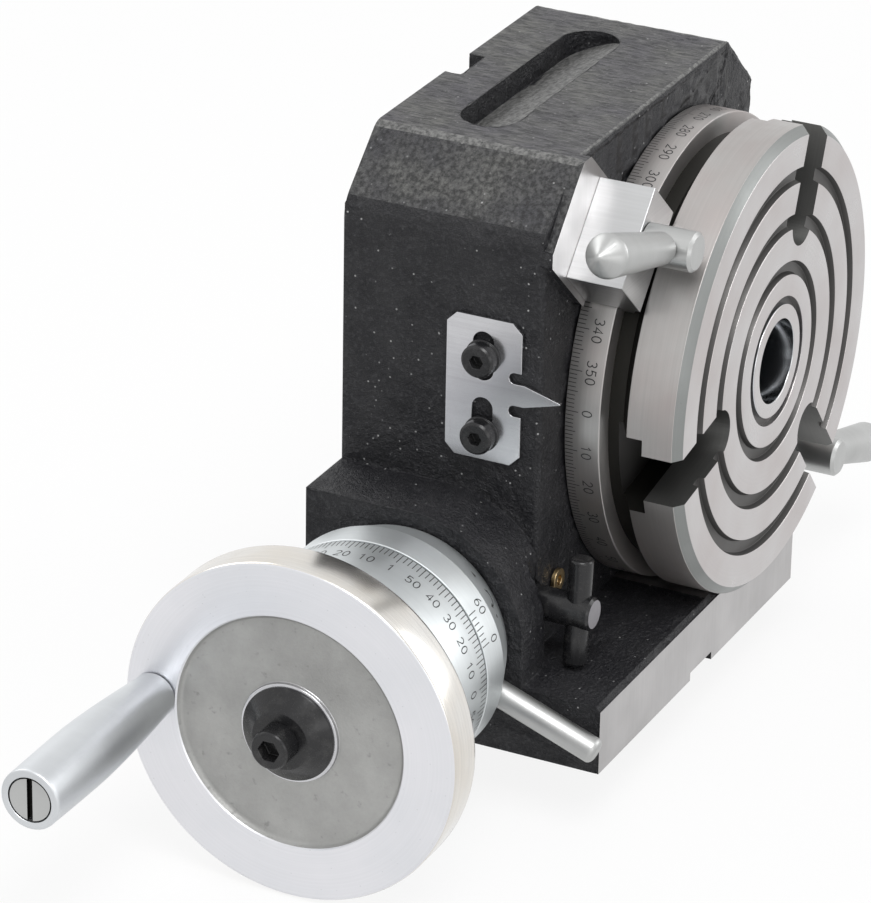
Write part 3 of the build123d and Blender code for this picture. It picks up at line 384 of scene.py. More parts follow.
def cast_metal(name, colour, roughness, metallic, depth):
    """Sand-cast metal: matt, grey, pitted."""
    paint = Paint(name)
    grain = paint.noise(1.5, 4.0, 0.65)
    patch = paint.noise(0.09, 3.0, 0.6)
    spots = paint.noise(0.4, 3.0, 0.6)
    shade = paint.mix(paint.remap(patch, 0.3, 0.7, 0.0, 1.0), colour, shaded(colour, 0.8))
    shade = paint.mix(paint.remap(spots, 0.62, 0.74, 0.0, 0.5), shade, shaded(colour, 0.45))
    rough = paint.remap(grain, 0.3, 0.7, roughness * 0.9, roughness * 1.15)
    normal = paint.bump(grain, 0.6, depth)
    return paint.surface(shade, rough, metallic, normal)


def black_oxide():
    """Blackened steel, glossy, with greyer rubbed spots."""
    paint = Paint("black_oxide")
    grain = paint.noise(2.5, 3.0, 0.6)
    wear = paint.noise(0.35, 4.0, 0.65)
    rubbed = paint.remap(wear, 0.5, 0.75, 0.0, 0.6)
    colour = paint.mix(rubbed, (0.012, 0.012, 0.013), (0.05, 0.049, 0.048))
    rough = paint.remap(grain, 0.3, 0.7, 0.16, 0.30)
    return paint.surface(colour, rough, 0.0, paint.bump(grain, 0.15, 0.03), Specular_IOR_Level=0.42)


def brass():
    """Brass gone dull in patches."""
    paint = Paint("worn_brass")
    wear = paint.noise(0.8, 4.0, 0.65)
    dull = paint.remap(wear, 0.35, 0.7, 0.0, 1.0)
    colour = paint.mix(dull, (0.62, 0.46, 0.24), (0.40, 0.30, 0.18))
    return paint.surface(colour, 0.32, 1.0, paint.bump(wear, 0.2, 0.05))


def engraving():
    """Black filling of the engraved marks."""
    paint = Paint("engraved_black")
    wear = paint.noise(1.6, 3.0, 0.6)
    faded = paint.remap(wear, 0.4, 0.7, 0.0, 1.0)
    colour = paint.mix(faded, (0.012, 0.012, 0.013), (0.05, 0.05, 0.052))
    return paint.surface(colour, 0.6, 0.0)


table_centre = (0, 0, table_z)
worm_centre = (0, 0, worm_z)
paint_rough = rough_paint()
paint_streaky = streaky_paint()
paint_speckled = speckled_paint()
paint_edge_highlight = worn_paint()
oxide = black_oxide()
worn_brass = brass()
ink = engraving()
ground_face = ringed_metal(
    "ground_steel", (0.56, 0.545, 0.545), 0.30, table_centre, "Y", 0.12, (0.51, 0.475, 0.47)
)
chamfer_steel = ringed_metal("turned_chamfer", (0.27, 0.28, 0.275), 0.42, table_centre, "Y", 0.15)
# Painted shade: dark steel for the floors of the face grooves and the centre recess.
groove_shade_steel = ringed_metal("groove_painted_shade", (0.10, 0.097, 0.095), 0.45, table_centre, "Y", 0.2)
# Painted shade: near-black steel for the recess behind the rim and the slot of the handle screw.
recess_shade_steel = ringed_metal("recess_painted_shade", (0.035, 0.034, 0.031), 0.5, table_centre, "Y", 0.2)
rim_face = ringed_metal(
    "turned_rim_face", (0.79, 0.79, 0.82), 0.34, worm_centre, "X", 0.08, (0.74, 0.75, 0.78)
)
ring_metal = turned_metal(
    "ring_steel", (0.46, 0.45, 0.44), 0.38, "Y", 0.2, (0.42, 0.385, 0.375), metallic=0.85
)
# Tee slot walls: milled steel darkened as painted shade inside the slots.
milled_slot_shade = turned_metal("milled_slot_shade", (0.17, 0.17, 0.165), 0.45, "Y", 0.2, metallic=0.9)
bore_steel = turned_metal("honed_bore", (0.62, 0.64, 0.66), 0.13, "Y", 0.08, contrast=0.15)
satin_steel = turned_metal("satin_steel", (0.58, 0.585, 0.59), 0.33, "Z", 0.1)
plated = turned_metal("bright_plated", (0.62, 0.62, 0.64), 0.22, "Z", 0.04)
bronze = turned_metal("bronze", (0.55, 0.38, 0.20), 0.4, "Y", 0.2)
satin_chrome = turned_metal("satin_chrome", (0.68, 0.71, 0.72), 0.44, "X", 0.08, contrast=0.12)
handle_chrome = turned_metal("handle_chrome", (0.66, 0.68, 0.70), 0.42, "X", 0.05, contrast=0.05)
lever_chrome = turned_metal("lever_chrome", (0.50, 0.505, 0.50), 0.38, "X", 0.06, contrast=0.12)
polished = turned_metal("polished_rim", (0.78, 0.77, 0.75), 0.2, "X", 0.08, (0.74, 0.70, 0.64))
screw_end = turned_metal("worn_screw_end", (0.34, 0.33, 0.35), 0.4, "X", 0.05)
machine_steel = turned_metal("machine_steel", (0.42, 0.42, 0.42), 0.35, "X", 0.2)
ground_iron = turned_metal("ground_iron", (0.50, 0.49, 0.49), 0.36, "X", 0.3)
cast_dish = cast_metal("cast_dish", (0.41, 0.41, 0.40), 0.5, 0.75, 0.16)


# Mesh helpers

sharp_angle = 32.0


def mesh_from(bm, name):
    """New mesh from a bmesh, which is freed."""
    mesh = bpy.data.meshes.new(name)
    bm.to_mesh(mesh)
    bm.free()
    return mesh


def show(name, data):
    """New object in the scene."""
    piece = bpy.data.objects.new(name, data)
    bpy.context.scene.collection.objects.link(piece)
    return piece


def mark_sharp(bm, degrees):
    """Edges that turn less than an angle are smooth, and all others sharp."""
    limit = math.radians(degrees)
    for edge in bm.edges:
        edge.smooth = len(edge.link_faces) == 2 and edge.calc_face_angle(0) < limit


def round_edges(piece, width, segments, degrees):
    """Rounds the edges that turn more than an angle; width in millimetres."""
    rounding = piece.modifiers.new("edges", "BEVEL")
    rounding.width = width * MM
    rounding.segments = segments
    rounding.limit_method = "ANGLE"
    rounding.angle_limit = math.radians(degrees)
    rounding.harden_normals = True


def finish_mesh(name, mesh, materials, body, replaced):
    """Object from a mesh: smooth with sharp edges, riding on a body in place of CAD nodes."""
    bm = bmesh.new()
    bm.from_mesh(mesh)
    bmesh.ops.recalc_face_normals(bm, faces=bm.faces)
    mark_sharp(bm, sharp_angle)
    for face in bm.faces:
        face.smooth = True
    bm.to_mesh(mesh)
    bm.free()
    piece = show(name, mesh)
    for material in materials:
        mesh.materials.append(material)
    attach(piece, body)
    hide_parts(*replaced)
    return piece


def rounded(points, radius, steps=4):
    """Closed profile with rounded corners; a point's third value is its own radius."""
    result = []
    count = len(points)
    for index, point in enumerate(points):
        here = Vector(point[:2])
        limit = point[2] if len(point) > 2 else radius
        before = Vector(points[index - 1][:2]) - here
        after = Vector(points[(index + 1) % count][:2]) - here
        turn = before.angle(after, math.pi)
        if limit <= 0 or turn > math.pi - 0.05 or before.length == 0 or after.length == 0:
            result.append(here)
            continue
        reach = min(limit / math.tan(turn / 2), 0.45 * before.length, 0.45 * after.length)
        start = here + before.normalized() * reach
        stop = here + after.normalized() * reach
        for step in range(steps + 1):
            share = step / steps
            result.append(
                start * (1 - share) ** 2 + here * 2 * share * (1 - share) + stop * share ** 2
            )
    return result


def lathe_mesh(name, profile, axis, centre, segments):
    """Closed ring of revolution; profile holds (place along axis, radius) in millimetres."""
    bm = bmesh.new()
    rings = []
    for step in range(segments):
        angle = 2 * math.pi * step / segments
        ring = []
        for place, radius in profile:
            side = radius * math.cos(angle)
            up = radius * math.sin(angle)
            if axis == "Y":
                point = (centre[0] + side, place, centre[2] + up)
            else:
                point = (place, centre[1] + side, centre[2] + up)
            ring.append(bm.verts.new(mm(*point)))
        rings.append(ring)
    count = len(profile)
    for step in range(segments):
        here = rings[step]
        there = rings[(step + 1) % segments]
        for index in range(count):
            after = (index + 1) % count
            bm.faces.new((here[index], here[after], there[after], there[index]))
    bmesh.ops.remove_doubles(bm, verts=bm.verts, dist=1e-7)
    return mesh_from(bm, name)


def turned_piece(name, profile, axis, centre, material, body, replaced, segments=192):
    """Turned piece with rounded edges."""
    mesh = lathe_mesh(name, rounded(profile, 0.25), axis, centre, segments)
    return finish_mesh(name, mesh, [material], body, replaced)


def dressed(node, name, material, body, bevel, segments=2):
    """Copy of a CAD node with joined corners, rounded edges and its own finish."""
    source = frame["nodes"][node].data
    bm = bmesh.new()
    bm.from_mesh(source)
    bmesh.ops.remove_doubles(bm, verts=bm.verts, dist=2e-6)
    bmesh.ops.dissolve_limit(
        bm, angle_limit=math.radians(1.0), verts=bm.verts, edges=bm.edges
    )
    piece = finish_mesh(name, mesh_from(bm, name), [material], body, (node,))
    round_edges(piece, bevel, segments, sharp_angle)
    return piece


def second_finish(piece, material, chosen):
    """Another finish on the chosen faces of a piece."""
    piece.data.materials.append(material)
    for polygon in piece.data.polygons:
        if chosen(polygon):
            polygon.material_index = 1


def evaluated_mesh(piece):
    """New mesh of a piece with its modifiers applied; the modifiers are removed."""
    graph = bpy.context.evaluated_depsgraph_get()
    mesh = bpy.data.meshes.new_from_object(piece.evaluated_get(graph))
    piece.modifiers.clear()
    return mesh


def cut(piece, cutters):
    """Subtracts the cutters from a piece and removes them."""
    for cutter in cutters:
        modifier = piece.modifiers.new("cut", "BOOLEAN")
        modifier.operation = "DIFFERENCE"
        modifier.solver = "EXACT"
        modifier.object = cutter
    piece.data = evaluated_mesh(piece)
    for cutter in cutters:
        bpy.data.objects.remove(cutter)


def prism(name, outline, low, high, to_world):
    """Prism between two depths; to_world turns (u, v, depth) in millimetres to a point."""
    bm = bmesh.new()
    bottom = [bm.verts.new(to_world(u, v, low)) for u, v in outline]
    top = [bm.verts.new(to_world(u, v, high)) for u, v in outline]
    bm.faces.new(bottom)
    bm.faces.new(list(reversed(top)))
    count = len(outline)
    for index in range(count):
        after = (index + 1) % count
        bm.faces.new((bottom[index], top[index], top[after], bottom[after]))
    bmesh.ops.recalc_face_normals(bm, faces=bm.faces)
    return show(name, mesh_from(bm, name))


def arc(centre_u, centre_v, radius_u, radius_v, start, stop, steps=14):
    """Points along an ellipse, in degrees from start to stop."""
    points = []
    for step in range(steps + 1):
        angle = math.radians(start + (stop - start) * step / steps)
        along, up = radius_u * math.cos(angle), radius_v * math.sin(angle)
        points.append((centre_u + along, centre_v + up))
    return points


# Engraved figures


def digit_strokes(digit):
    """Strokes of one digit, in a cell 0.6 wide and 1 high."""
    strokes = {
        "0": [arc(0.3, 0.5, 0.28, 0.5, 90, 450, 24)],
        "1": [[(0.12, 0.76), (0.34, 1.0), (0.34, 0.0)]],
        "2": [arc(0.3, 0.71, 0.27, 0.29, 165, -35) + [(0.03, 0.0), (0.58, 0.0)]],
        "3": [arc(0.29, 0.75, 0.25, 0.25, 150, -80), arc(0.29, 0.26, 0.29, 0.26, 80, -150)],
        "4": [[(0.44, 0.0), (0.44, 1.0), (0.02, 0.28), (0.6, 0.28)]],
        "5": [[(0.54, 1.0), (0.12, 1.0), (0.08, 0.56)] + arc(0.29, 0.32, 0.29, 0.32, 132, -150)],
        "6": [arc(0.3, 0.3, 0.28, 0.3, 0, 360, 20), arc(0.62, 0.34, 0.6, 0.66, 180, 102)],
        "7": [[(0.02, 1.0), (0.58, 1.0), (0.22, 0.0)]],
        "8": [arc(0.3, 0.75, 0.23, 0.25, 0, 360, 18), arc(0.3, 0.26, 0.28, 0.26, 0, 360, 20)],
        "9": [arc(0.3, 0.7, 0.28, 0.3, 0, 360, 20), arc(-0.02, 0.66, 0.6, 0.66, 0, -78)],
    }
    return strokes[digit]


def ribbon(bm, points, width, to_world):
    """Flat strip along a stroke, mitred at its corners."""
    half = width / 2
    pairs = []
    count = len(points)
    for index in range(count):
        here = Vector(points[index])
        before = here - Vector(points[max(index - 1, 0)])
        after = Vector(points[min(index + 1, count - 1)]) - here
        if before.length == 0:
            before = after
        if after.length == 0:
            after = before
        direction = before.normalized() + after.normalized()
        if direction.length < 0.2:
            direction = after
        direction.normalize()
        across = Vector((-direction.y, direction.x))
        reach = half / max(0.5, direction.dot(after.normalized()))
        left = here + across * reach
        right = here - across * reach
        pairs.append((bm.verts.new(to_world(*left)), bm.verts.new(to_world(*right))))
    for first, second in zip(pairs, pairs[1:]):
        bm.faces.new((first[0], first[1], second[1], second[0]))


def write_number(bm, text, height, to_world):
    """Centred number; to_world takes (along, up) in millimetres."""
    cell = 0.6 * height
    gap = 0.26 * height
    total = len(text) * cell + (len(text) - 1) * gap
    for place, digit in enumerate(text):
        start = place * (cell + gap) - total / 2
        for stroke in digit_strokes(digit):
            points = [(start + u * height, (v - 0.5) * height) for u, v in stroke]
            ribbon(bm, points, figure_stroke, to_world)


def wrapped_y(radius, centre_angle, centre_y):
    """Surface of a cylinder about the table axis: along runs with the angle, up runs to -Y."""
    def to_world(along, up):
        angle = math.radians(centre_angle) + along / radius
        return mm(radius * math.cos(angle), centre_y - up, table_z + radius * math.sin(angle))
    return to_world


def wrapped_x(radius, centre_angle, centre_x, up_sign=1, slope=0.0):
    """Surface about the worm axis: angle from +Y towards +Z, up runs along X."""
    def to_world(along, up):
        here = radius + slope * up
        angle = math.radians(centre_angle) + along / here
        x = centre_x + up_sign * up
        return mm(x, here * math.cos(angle), worm_z + here * math.sin(angle))
    return to_world


def marks_piece(name, bm, body):
    """Engraved marks, as one piece."""
    piece = show(name, mesh_from(bm, name))
    piece.data.materials.append(ink)
    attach(piece, body)


# Casting


def grid_cut(bm, spacing):
    """Cuts a mesh by planes a set distance apart along X, Y and Z."""
    low, high = casting_low * MM, casting_high * MM
    for axis in range(3):
        normal = Vector((0, 0, 0))
        normal[axis] = 1
        place = low[axis] + spacing * 0.37
        while place < high[axis]:
            point = Vector((0, 0, 0))
            point[axis] = place
            everything = bm.verts[:] + bm.edges[:] + bm.faces[:]
            bmesh.ops.bisect_plane(
                bm, geom=everything, dist=1e-6, plane_co=point, plane_no=normal
            )
            place += spacing


def casting_finish(centre, normal):
    """Which finish a spot of the casting has, as a material index."""
    out_of_table = Vector((centre.x, 0, centre.z - table_z))
    out_of_worm = Vector((0, centre.y, centre.z - worm_z))
    table_radius, worm_radius = out_of_table.length, out_of_worm.length
    near_face = centre.y < casting_low.y + 0.4 or abs(centre.y - pad_front) < 0.1
    table_inward = -normal.dot(out_of_table) > 0.8 * table_radius
    worm_inward = -normal.dot(out_of_worm) > 0.8 * worm_radius
    ground = centre.z < 0.1 or centre.y > casting_high.y - 0.1
    faced = normal.y < -0.95 and near_face
    table_bore = table_radius < table_seat_r and abs(normal.y) < 0.5 and table_inward
    worm_bore = worm_radius < worm_seat_r and abs(normal.x) < 0.5 and worm_inward
    if ground or faced or table_bore or worm_bore:
        return MACHINED
    # Faces of the top band that face up get paler paints: painted light from above.
    if centre.z > casting_high.z - top_band and table_radius > table_seat_r:
        if normal.z > level_tilt:
            return STREAKY
        # The rounded top edge: a painted highlight.
        if normal.z > edge_tilt:
            return EDGE_HIGHLIGHT
        if normal.z > cut_tilt:
            return SPECKLED
    return ROUGH


def corner_flats():
    """Flats beside the cut top corners: corner, way along, normal, radius, half turn."""
    top = casting_high.z
    rise = Vector((-cut_wide, cut_high)).normalized()
    outward = Vector((cut_high, cut_wide)).normalized()
    side, up = Vector((1, 0)), Vector((0, 1))
    low_corner = Vector((body_half, top - cut_high))
    high_corner = Vector((body_half - cut_wide, top))
    low_turn, high_turn = side.angle(outward) / 2, up.angle(outward) / 2
    return [
        (low_corner, -up, side, low_corner_round, low_turn),
        (low_corner, rise, outward, low_corner_round, low_turn),
        (high_corner, -rise, outward, high_corner_round, high_turn),
        (high_corner, -side, up, high_corner_round, high_turn),
    ]


def round_corners(bm):
    """Large rounding of the casting's long edges beside the cut top corners."""
    flats = corner_flats()
    for corner, along, _, radius, half_turn in flats:
        reach = radius * math.tan(half_turn)
        for sign in (-1, 1):
            for share in (1.0, 0.66, 0.33):
                near = [
                    face for face in bm.faces
                    if (face.calc_center_median().x / MM - body_middle) * sign > corners_beyond
                    and face.calc_center_median().z > (casting_high.z - corners_within) * MM
                ]
                edges = {edge for face in near for edge in face.edges}
                verts = {vert for face in near for vert in face.verts}
                point = corner + along * reach * share
                bmesh.ops.bisect_plane(
                    bm, geom=list(verts) + list(edges) + near, dist=1e-6,
                    plane_co=mm(point.x * sign + body_middle, 0, point.y),
                    plane_no=(along.x * sign, 0, along.y),
                )
    for vert in bm.verts:
        place = vert.co / MM
        if place.y < pad_front + 1.5:
            continue
        for corner, along, outward, radius, half_turn in flats:
            reach = radius * math.tan(half_turn)
            away = Vector((abs(place.x - body_middle), place.z)) - corner
            step = away.dot(along)
            if -0.3 < step < reach and abs(away.dot(outward)) < 0.2:
                turn = half_turn * (1 - max(step, 0) / reach)
                bend = outward * math.cos(turn) - along * math.sin(turn)
                moved = corner + along * reach + (bend - outward) * radius
                side = math.copysign(moved.x, place.x - body_middle)
                vert.co = mm(side + body_middle, place.y, moved.y)
                break


def paint_casting():
    """Casting with rounded edges, real lumps under its paint and ground seats."""
    casting = dressed(
        "base_casting", "painted_casting", paint_rough, "base", 0.5
    )
    mesh = evaluated_mesh(casting)
    bm = bmesh.new()
    bm.from_mesh(mesh)
    bmesh.ops.triangulate(bm, faces=bm.faces)
    grid_cut(bm, grid_spacing * MM)
    round_corners(bm)
    bm.normal_update()
    for face in bm.faces:
        face.material_index = casting_finish(face.calc_center_median() / MM, face.normal)
    moves = {}
    for vert in bm.verts:
        finish = {face.material_index for face in vert.link_faces}
        if MACHINED in finish or not finish:
            continue
        place = vert.co / MM
        wide = noise.fractal(place * 0.13, 1.0, 2.0, 3)
        lumps = noise.fractal(place * 0.34 + Vector((7, 3, 1)), 0.9, 2.0, 4)
        deep = 0.2 + 0.2 * wide + 0.42 * lumps
        if finish & {STREAKY, SPECKLED, EDGE_HIGHLIGHT}:
            deep *= 0.4
        moves[vert] = vert.co - vert.normal * max(0.0, min(deepest_lump, deep)) * MM
    for vert, place in moves.items():
        vert.co = place
    bm.normal_update()
    mark_sharp(bm, lump_crease)
    mesh.materials.clear()
    for finish in (paint_rough, paint_streaky, ground_iron, paint_speckled, paint_edge_highlight):
        mesh.materials.append(finish)
    bm.to_mesh(mesh)
    bm.free()
    casting.data = mesh


# Faceplate

TURNED, GROOVE, RIM, DEEP, MILLED, CHAMFER = range(6)


def faceplate_cutters():
    """Tee slots as cutters."""
    cutters = []
    neck_end = plate_front + slot_neck
    for angle in slot_angles:
        spin = math.radians(angle)
        out = Vector((math.cos(spin), 0, math.sin(spin)))
        side = Vector((-math.sin(spin), 0, math.cos(spin)))

        def to_world(u, v, depth, out=out, side=side):
            return (Vector(table_centre) + out * u + side * v + Vector((0, depth, 0))) * MM

        for half, low, high in (
            (slot_half, plate_front - 2, neck_end),
            (tee_half, neck_end - 0.01, plate_front + tee_depth),
        ):
            outline = arc(slot_end, 0.0, half, half, 90, 270, 24)
            outline += [(past_rim, -half), (past_rim, half)]
            cutters.append(prism("slot_cutter", outline, low, high, to_world))
    return cutters


def faceplate_finish(polygon, vertices):
    """Which finish a face of the faceplate has, as an index of its materials."""
    centre = polygon.center / MM
    radius = math.hypot(centre.x, centre.z - table_z)
    deep = centre.y - plate_front
    # Groove floors: painted shade.
    if deep > 0.3 and radius < 50.6 and polygon.normal.y < -0.3:
        return GROOVE
    # The recess behind the rim: painted shade.
    if deep > rim_depth + 0.05 and radius < 54.9:
        return DEEP
    if 0.2 < deep < plate_chamfer - 0.1 and radius > plate_r - plate_chamfer + 0.1:
        return CHAMFER
    if radius > 54.0 and deep > 1.8:
        return RIM
    # Walls of the tee slots: painted shade.
    if radius > 25 and abs(polygon.normal.y) < 0.5:
        deepest = max(vertices[index].co.y for index in polygon.vertices) / MM
        if deepest > plate_front + 2 * register_depth:
            return MILLED
    return TURNED


def make_faceplate():
    """Faceplate with ring grooves and tee slots."""
    floor = plate_front + register_depth
    profile = [(floor, bore_r, 0), (floor, register_r), (plate_front, register_r)]
    for inner, outer in groove_radii:
        profile += [
            (plate_front, inner), (floor, inner + groove_draft),
            (floor, outer - groove_draft), (plate_front, outer),
        ]
    profile += [
        (plate_front, plate_r - plate_chamfer),
        (plate_front + plate_chamfer, plate_r),
        (plate_front + rim_depth, plate_r),
        (plate_front + land_depth, land_r),
        (ring_low.y, land_r, 0),
        (ring_low.y, ring_seat_r, 0),
        (ring_high.y, ring_seat_r, 0),
        (ring_high.y, 24.0, 0),
        (plate_high.y, 18.0, 0),
        (plate_high.y, bore_r, 0),
    ]
    mesh = lathe_mesh("faceplate_body", rounded(profile, 0.2), "Y", table_centre, 256)
    finishes = [ground_face, groove_shade_steel, ring_metal, recess_shade_steel, milled_slot_shade, chamfer_steel]
    plate = finish_mesh(
        "faceplate_body", mesh, finishes, "table", ("faceplate",)
    )
    cut(plate, faceplate_cutters())
    for polygon in plate.data.polygons:
        finish = faceplate_finish(polygon, plate.data.vertices)
        if finish != TURNED:
            polygon.material_index = finish
    round_edges(plate, 0.25, 2, plate_crease)


def make_ring():
    """Graduated ring with its scale of degrees."""
    profile = [
        (ring_low.y, ring_seat_r + 0.1, 0),
        (ring_low.y, ring_r, 0.35),
        (ring_high.y, ring_r, 0.2),
        (ring_high.y, ring_seat_r + 0.1, 0),
    ]
    turned_piece("degree_ring", profile, "Y", table_centre, ring_metal, "table",
                 ("graduated_ring",), segments=360)
    bm = bmesh.new()
    surface = ring_r + proud
    for degree in range(360):
        if degree % 10 == 0:
            length = 3.0
        elif degree % 5 == 0:
            length = 2.5
        else:
            length = 1.9
        to_world = wrapped_y(surface, zero_angle + degree, ring_high.y - 0.15)
        ribbon(bm, [(0.0, 0.0), (0.0, length)], tick_stroke, to_world)
        if degree % 10 == 0:
            figure_place = wrapped_y(surface, zero_angle + degree, ring_high.y - 5.3)
            write_number(bm, str(degree), 2.3, figure_place)
    marks_piece("degree_marks", bm, "table")


# Worm side


def make_collar():
    """Vernier collar with its cone and short scale."""
    cone_length = 9.2
    cone = collar_high.x - cone_length
    cone_r, collar_r, bore = 24.8, 28.4, 14.0
    profile = [
        (collar_high.x, 21.1, 0),
        (collar_high.x, cone_r, 0.4),
        (cone, collar_r, 0.6),
        (collar_low.x, collar_r, 0.3),
        (collar_low.x, bore, 0),
        (collar_low.x + 4.0, bore, 0),
        (collar_low.x + 4.0, 21.1, 0),
    ]
    turned_piece("vernier_body", profile, "X", worm_centre, satin_chrome, "worm_sleeve",
                 ("vernier_collar",))
    bm = bmesh.new()
    surface = dial_r + proud
    zero_place, sixty_place = 161.3, 145.4
    for step in range(7):
        angle = zero_place + (sixty_place - zero_place) * step / 6
        length = 3.0 if step in (0, 3, 6) else 2.2
        to_world = wrapped_x(surface, angle, collar_low.x + 0.2)
        ribbon(bm, [(0.0, 0.0), (0.0, length)], 0.22, to_world)
    for text, angle in (("0", zero_place), ("60", sixty_place)):
        write_number(bm, text, 2.4, wrapped_x(surface, angle, collar_low.x + 5.6))
    # Turning sign on the cone: a straight arrow, a bent one and a dot
    slope = (cone_r - collar_r) / cone_length
    middle = (collar_r + cone_r) / 2 + proud
    to_world = wrapped_x(middle, 146.5, cone + cone_length / 2, slope=slope)
    ribbon(bm, [(-5.6, 0.4), (-1.9, 0.4)], 0.2, to_world)
    turns = (2.9, 2.4, 1.8, 1.2, 0.6, 0.0, -0.5)
    hook = [(0.1 + 1.9 * math.cos(a), 0.1 + 1.5 * math.sin(a)) for a in turns]
    ribbon(bm, hook, 0.45, to_world)
    sixths = (0, 1.05, 2.1, 3.14, 4.19, 5.24)
    dot = [(4.4 + 0.45 * math.cos(a), -0.6 + 0.45 * math.sin(a)) for a in sixths]
    for outline in (
        ((-7.2, 0.4), (-5.5, 1.0), (-5.5, -0.2)),
        ((1.7, -1.7), (1.2, -0.3), (2.5, -0.5)),
        dot,
    ):
        bm.faces.new([bm.verts.new(to_world(*point)) for point in outline])
    marks_piece("vernier_marks", bm, "worm_sleeve")


def make_dial():
    """Dial with five degrees round it, in minutes."""
    profile = [
        (dial_high.x, 13.1, 0),
        (dial_high.x, dial_r, 0.35),
        (dial_low.x, dial_r, 0.8),
        (dial_low.x, 13.1, 0),
    ]
    turned_piece("dial_body", profile, "X", worm_centre, satin_chrome, "worm",
                 ("graduated_dial",))
    bm = bmesh.new()
    surface = dial_r + proud
    for tick in range(dial_ticks):
        angle = dial_zero_angle - tick * 360 / dial_ticks
        length = 2.6 if tick % 5 else 3.6
        to_world = wrapped_x(surface, angle, dial_high.x - 0.2, -1)
        ribbon(bm, [(0.0, 0.0), (0.0, length)], tick_stroke, to_world)
        if tick % 5 == 0:
            minutes = tick * 2 % 60
            label = str(minutes) if minutes else str(tick // 30)
            write_number(bm, label, 2.4, wrapped_x(surface, angle, dial_high.x - 6.6))
    marks_piece("dial_marks", bm, "worm")


def make_handwheel():
    """Handwheel: bright rim, grey cast dish with a low boss, and hub."""
    dish, hub, edge, boss = 1, 2, 3, 4
    front = wheel_low.x
    boss_front = front + 0.3
    web_front, web_back, rim_back = front + 1.3, front + 6.7, front + 10.5
    inner_r, boss_r, hub_r, bore = 27.5, 11.7, 13.0, 6.1
    profile = [
        (boss_front, bore, 0),
        (boss_front, boss_r, 0.35),
        (web_front, boss_r, 0.3),
        (web_front, inner_r - 0.7, 1.6),
        (boss_front, inner_r, 0.2),
        (front, inner_r + 0.3, 0.15),
        (front, wheel_r, 0.9),
        (rim_back, wheel_r, 1.3),
        (rim_back, inner_r, 0.8),
        (web_back, inner_r - 1.3, 0.8),
        (web_back, hub_r + 1.2, 0.8),
        (web_back + 1.2, hub_r, 0),
        (wheel_high.x, hub_r, 0.4),
        (wheel_high.x, bore, 0),
    ]
    wheel = turned_piece("handwheel_body", profile, "X", worm_centre, rim_face, "worm",
                         ("handwheel",), segments=256)
    for material in (cast_dish, satin_chrome, polished, plated):
        wheel.data.materials.append(material)
    for polygon in wheel.data.polygons:
        centre = polygon.center / MM
        radius = math.hypot(centre.y, centre.z - worm_z)
        if radius < boss_r + 0.1 and centre.x < web_front:
            polygon.material_index = boss
        elif radius < inner_r - 0.02 and centre.x < web_back + 2:
            polygon.material_index = dish
        elif radius < 20 and centre.x >= web_back + 2:
            polygon.material_index = hub
        elif radius > wheel_r - 0.3:
            polygon.material_index = edge


def make_hub_parts():
    """Conical washer and cap screw."""
    washer_low, washer_high = node_box("hub_washer")
    profile = [
        (washer_low.x, 3.3, 0),
        (washer_low.x, 6.8, 0.4),
        (washer_high.x - 0.5, 11.0, 0.3),
        (washer_high.x, 11.0, 0),
        (washer_high.x, 3.3, 0),
    ]
    turned_piece("hub_washer_body", profile, "X", worm_centre, oxide, "worm",
                 ("hub_washer",), segments=96)
    dressed("cap_screw", "cap_screw_body", oxide, "worm", 0.3, 3)


def make_handle():
    """Turning handle with its slotted screw."""
    left, right = handle_low.x, handle_high.x
    centre = (0, (handle_low.y + handle_high.y) / 2, (handle_low.z + handle_high.z) / 2)
    neck_r, belly_r, end_r, screw_r = 5.2, 7.18, 7.0, 3.1
    first, last = right - 1.5, left + 1.6
    belly_share = 0.6
    outline = []
    steps = 40
    for step in range(steps + 1):
        share = step / steps
        place = first + (last - first) * share
        rise = min(share / belly_share, 1.0)
        swell = neck_r + (belly_r - neck_r) * rise * (1.35 - 0.35 * rise * rise)
        if share > belly_share:
            fall = (share - belly_share) / (1 - belly_share)
            swell = belly_r - (belly_r - end_r) * fall ** 2
        outline.append((place, min(swell, belly_r), 0))
    profile = [(right, screw_r, 0), (right, neck_r, 0.4)] + outline
    profile += [
        (left, end_r, 1.2), (left, 5.2, 0.3), (left + 3.0, 5.2, 0), (left + 3.0, screw_r, 0)
    ]
    turned_piece("handle_body", profile, "X", centre, handle_chrome, "crank_handle",
                 ("handle",), segments=96)
    screw = dressed(
        "handle_screw", "handle_screw_body", lever_chrome, "worm", 0.1
    )
    head_top = node_box("handle_screw")[0].x
    # The slot of the screw head: painted shade.
    second_finish(screw, recess_shade_steel, lambda polygon: (
        head_top + 0.2 < polygon.center.x / MM < head_top + 1.6
    ))


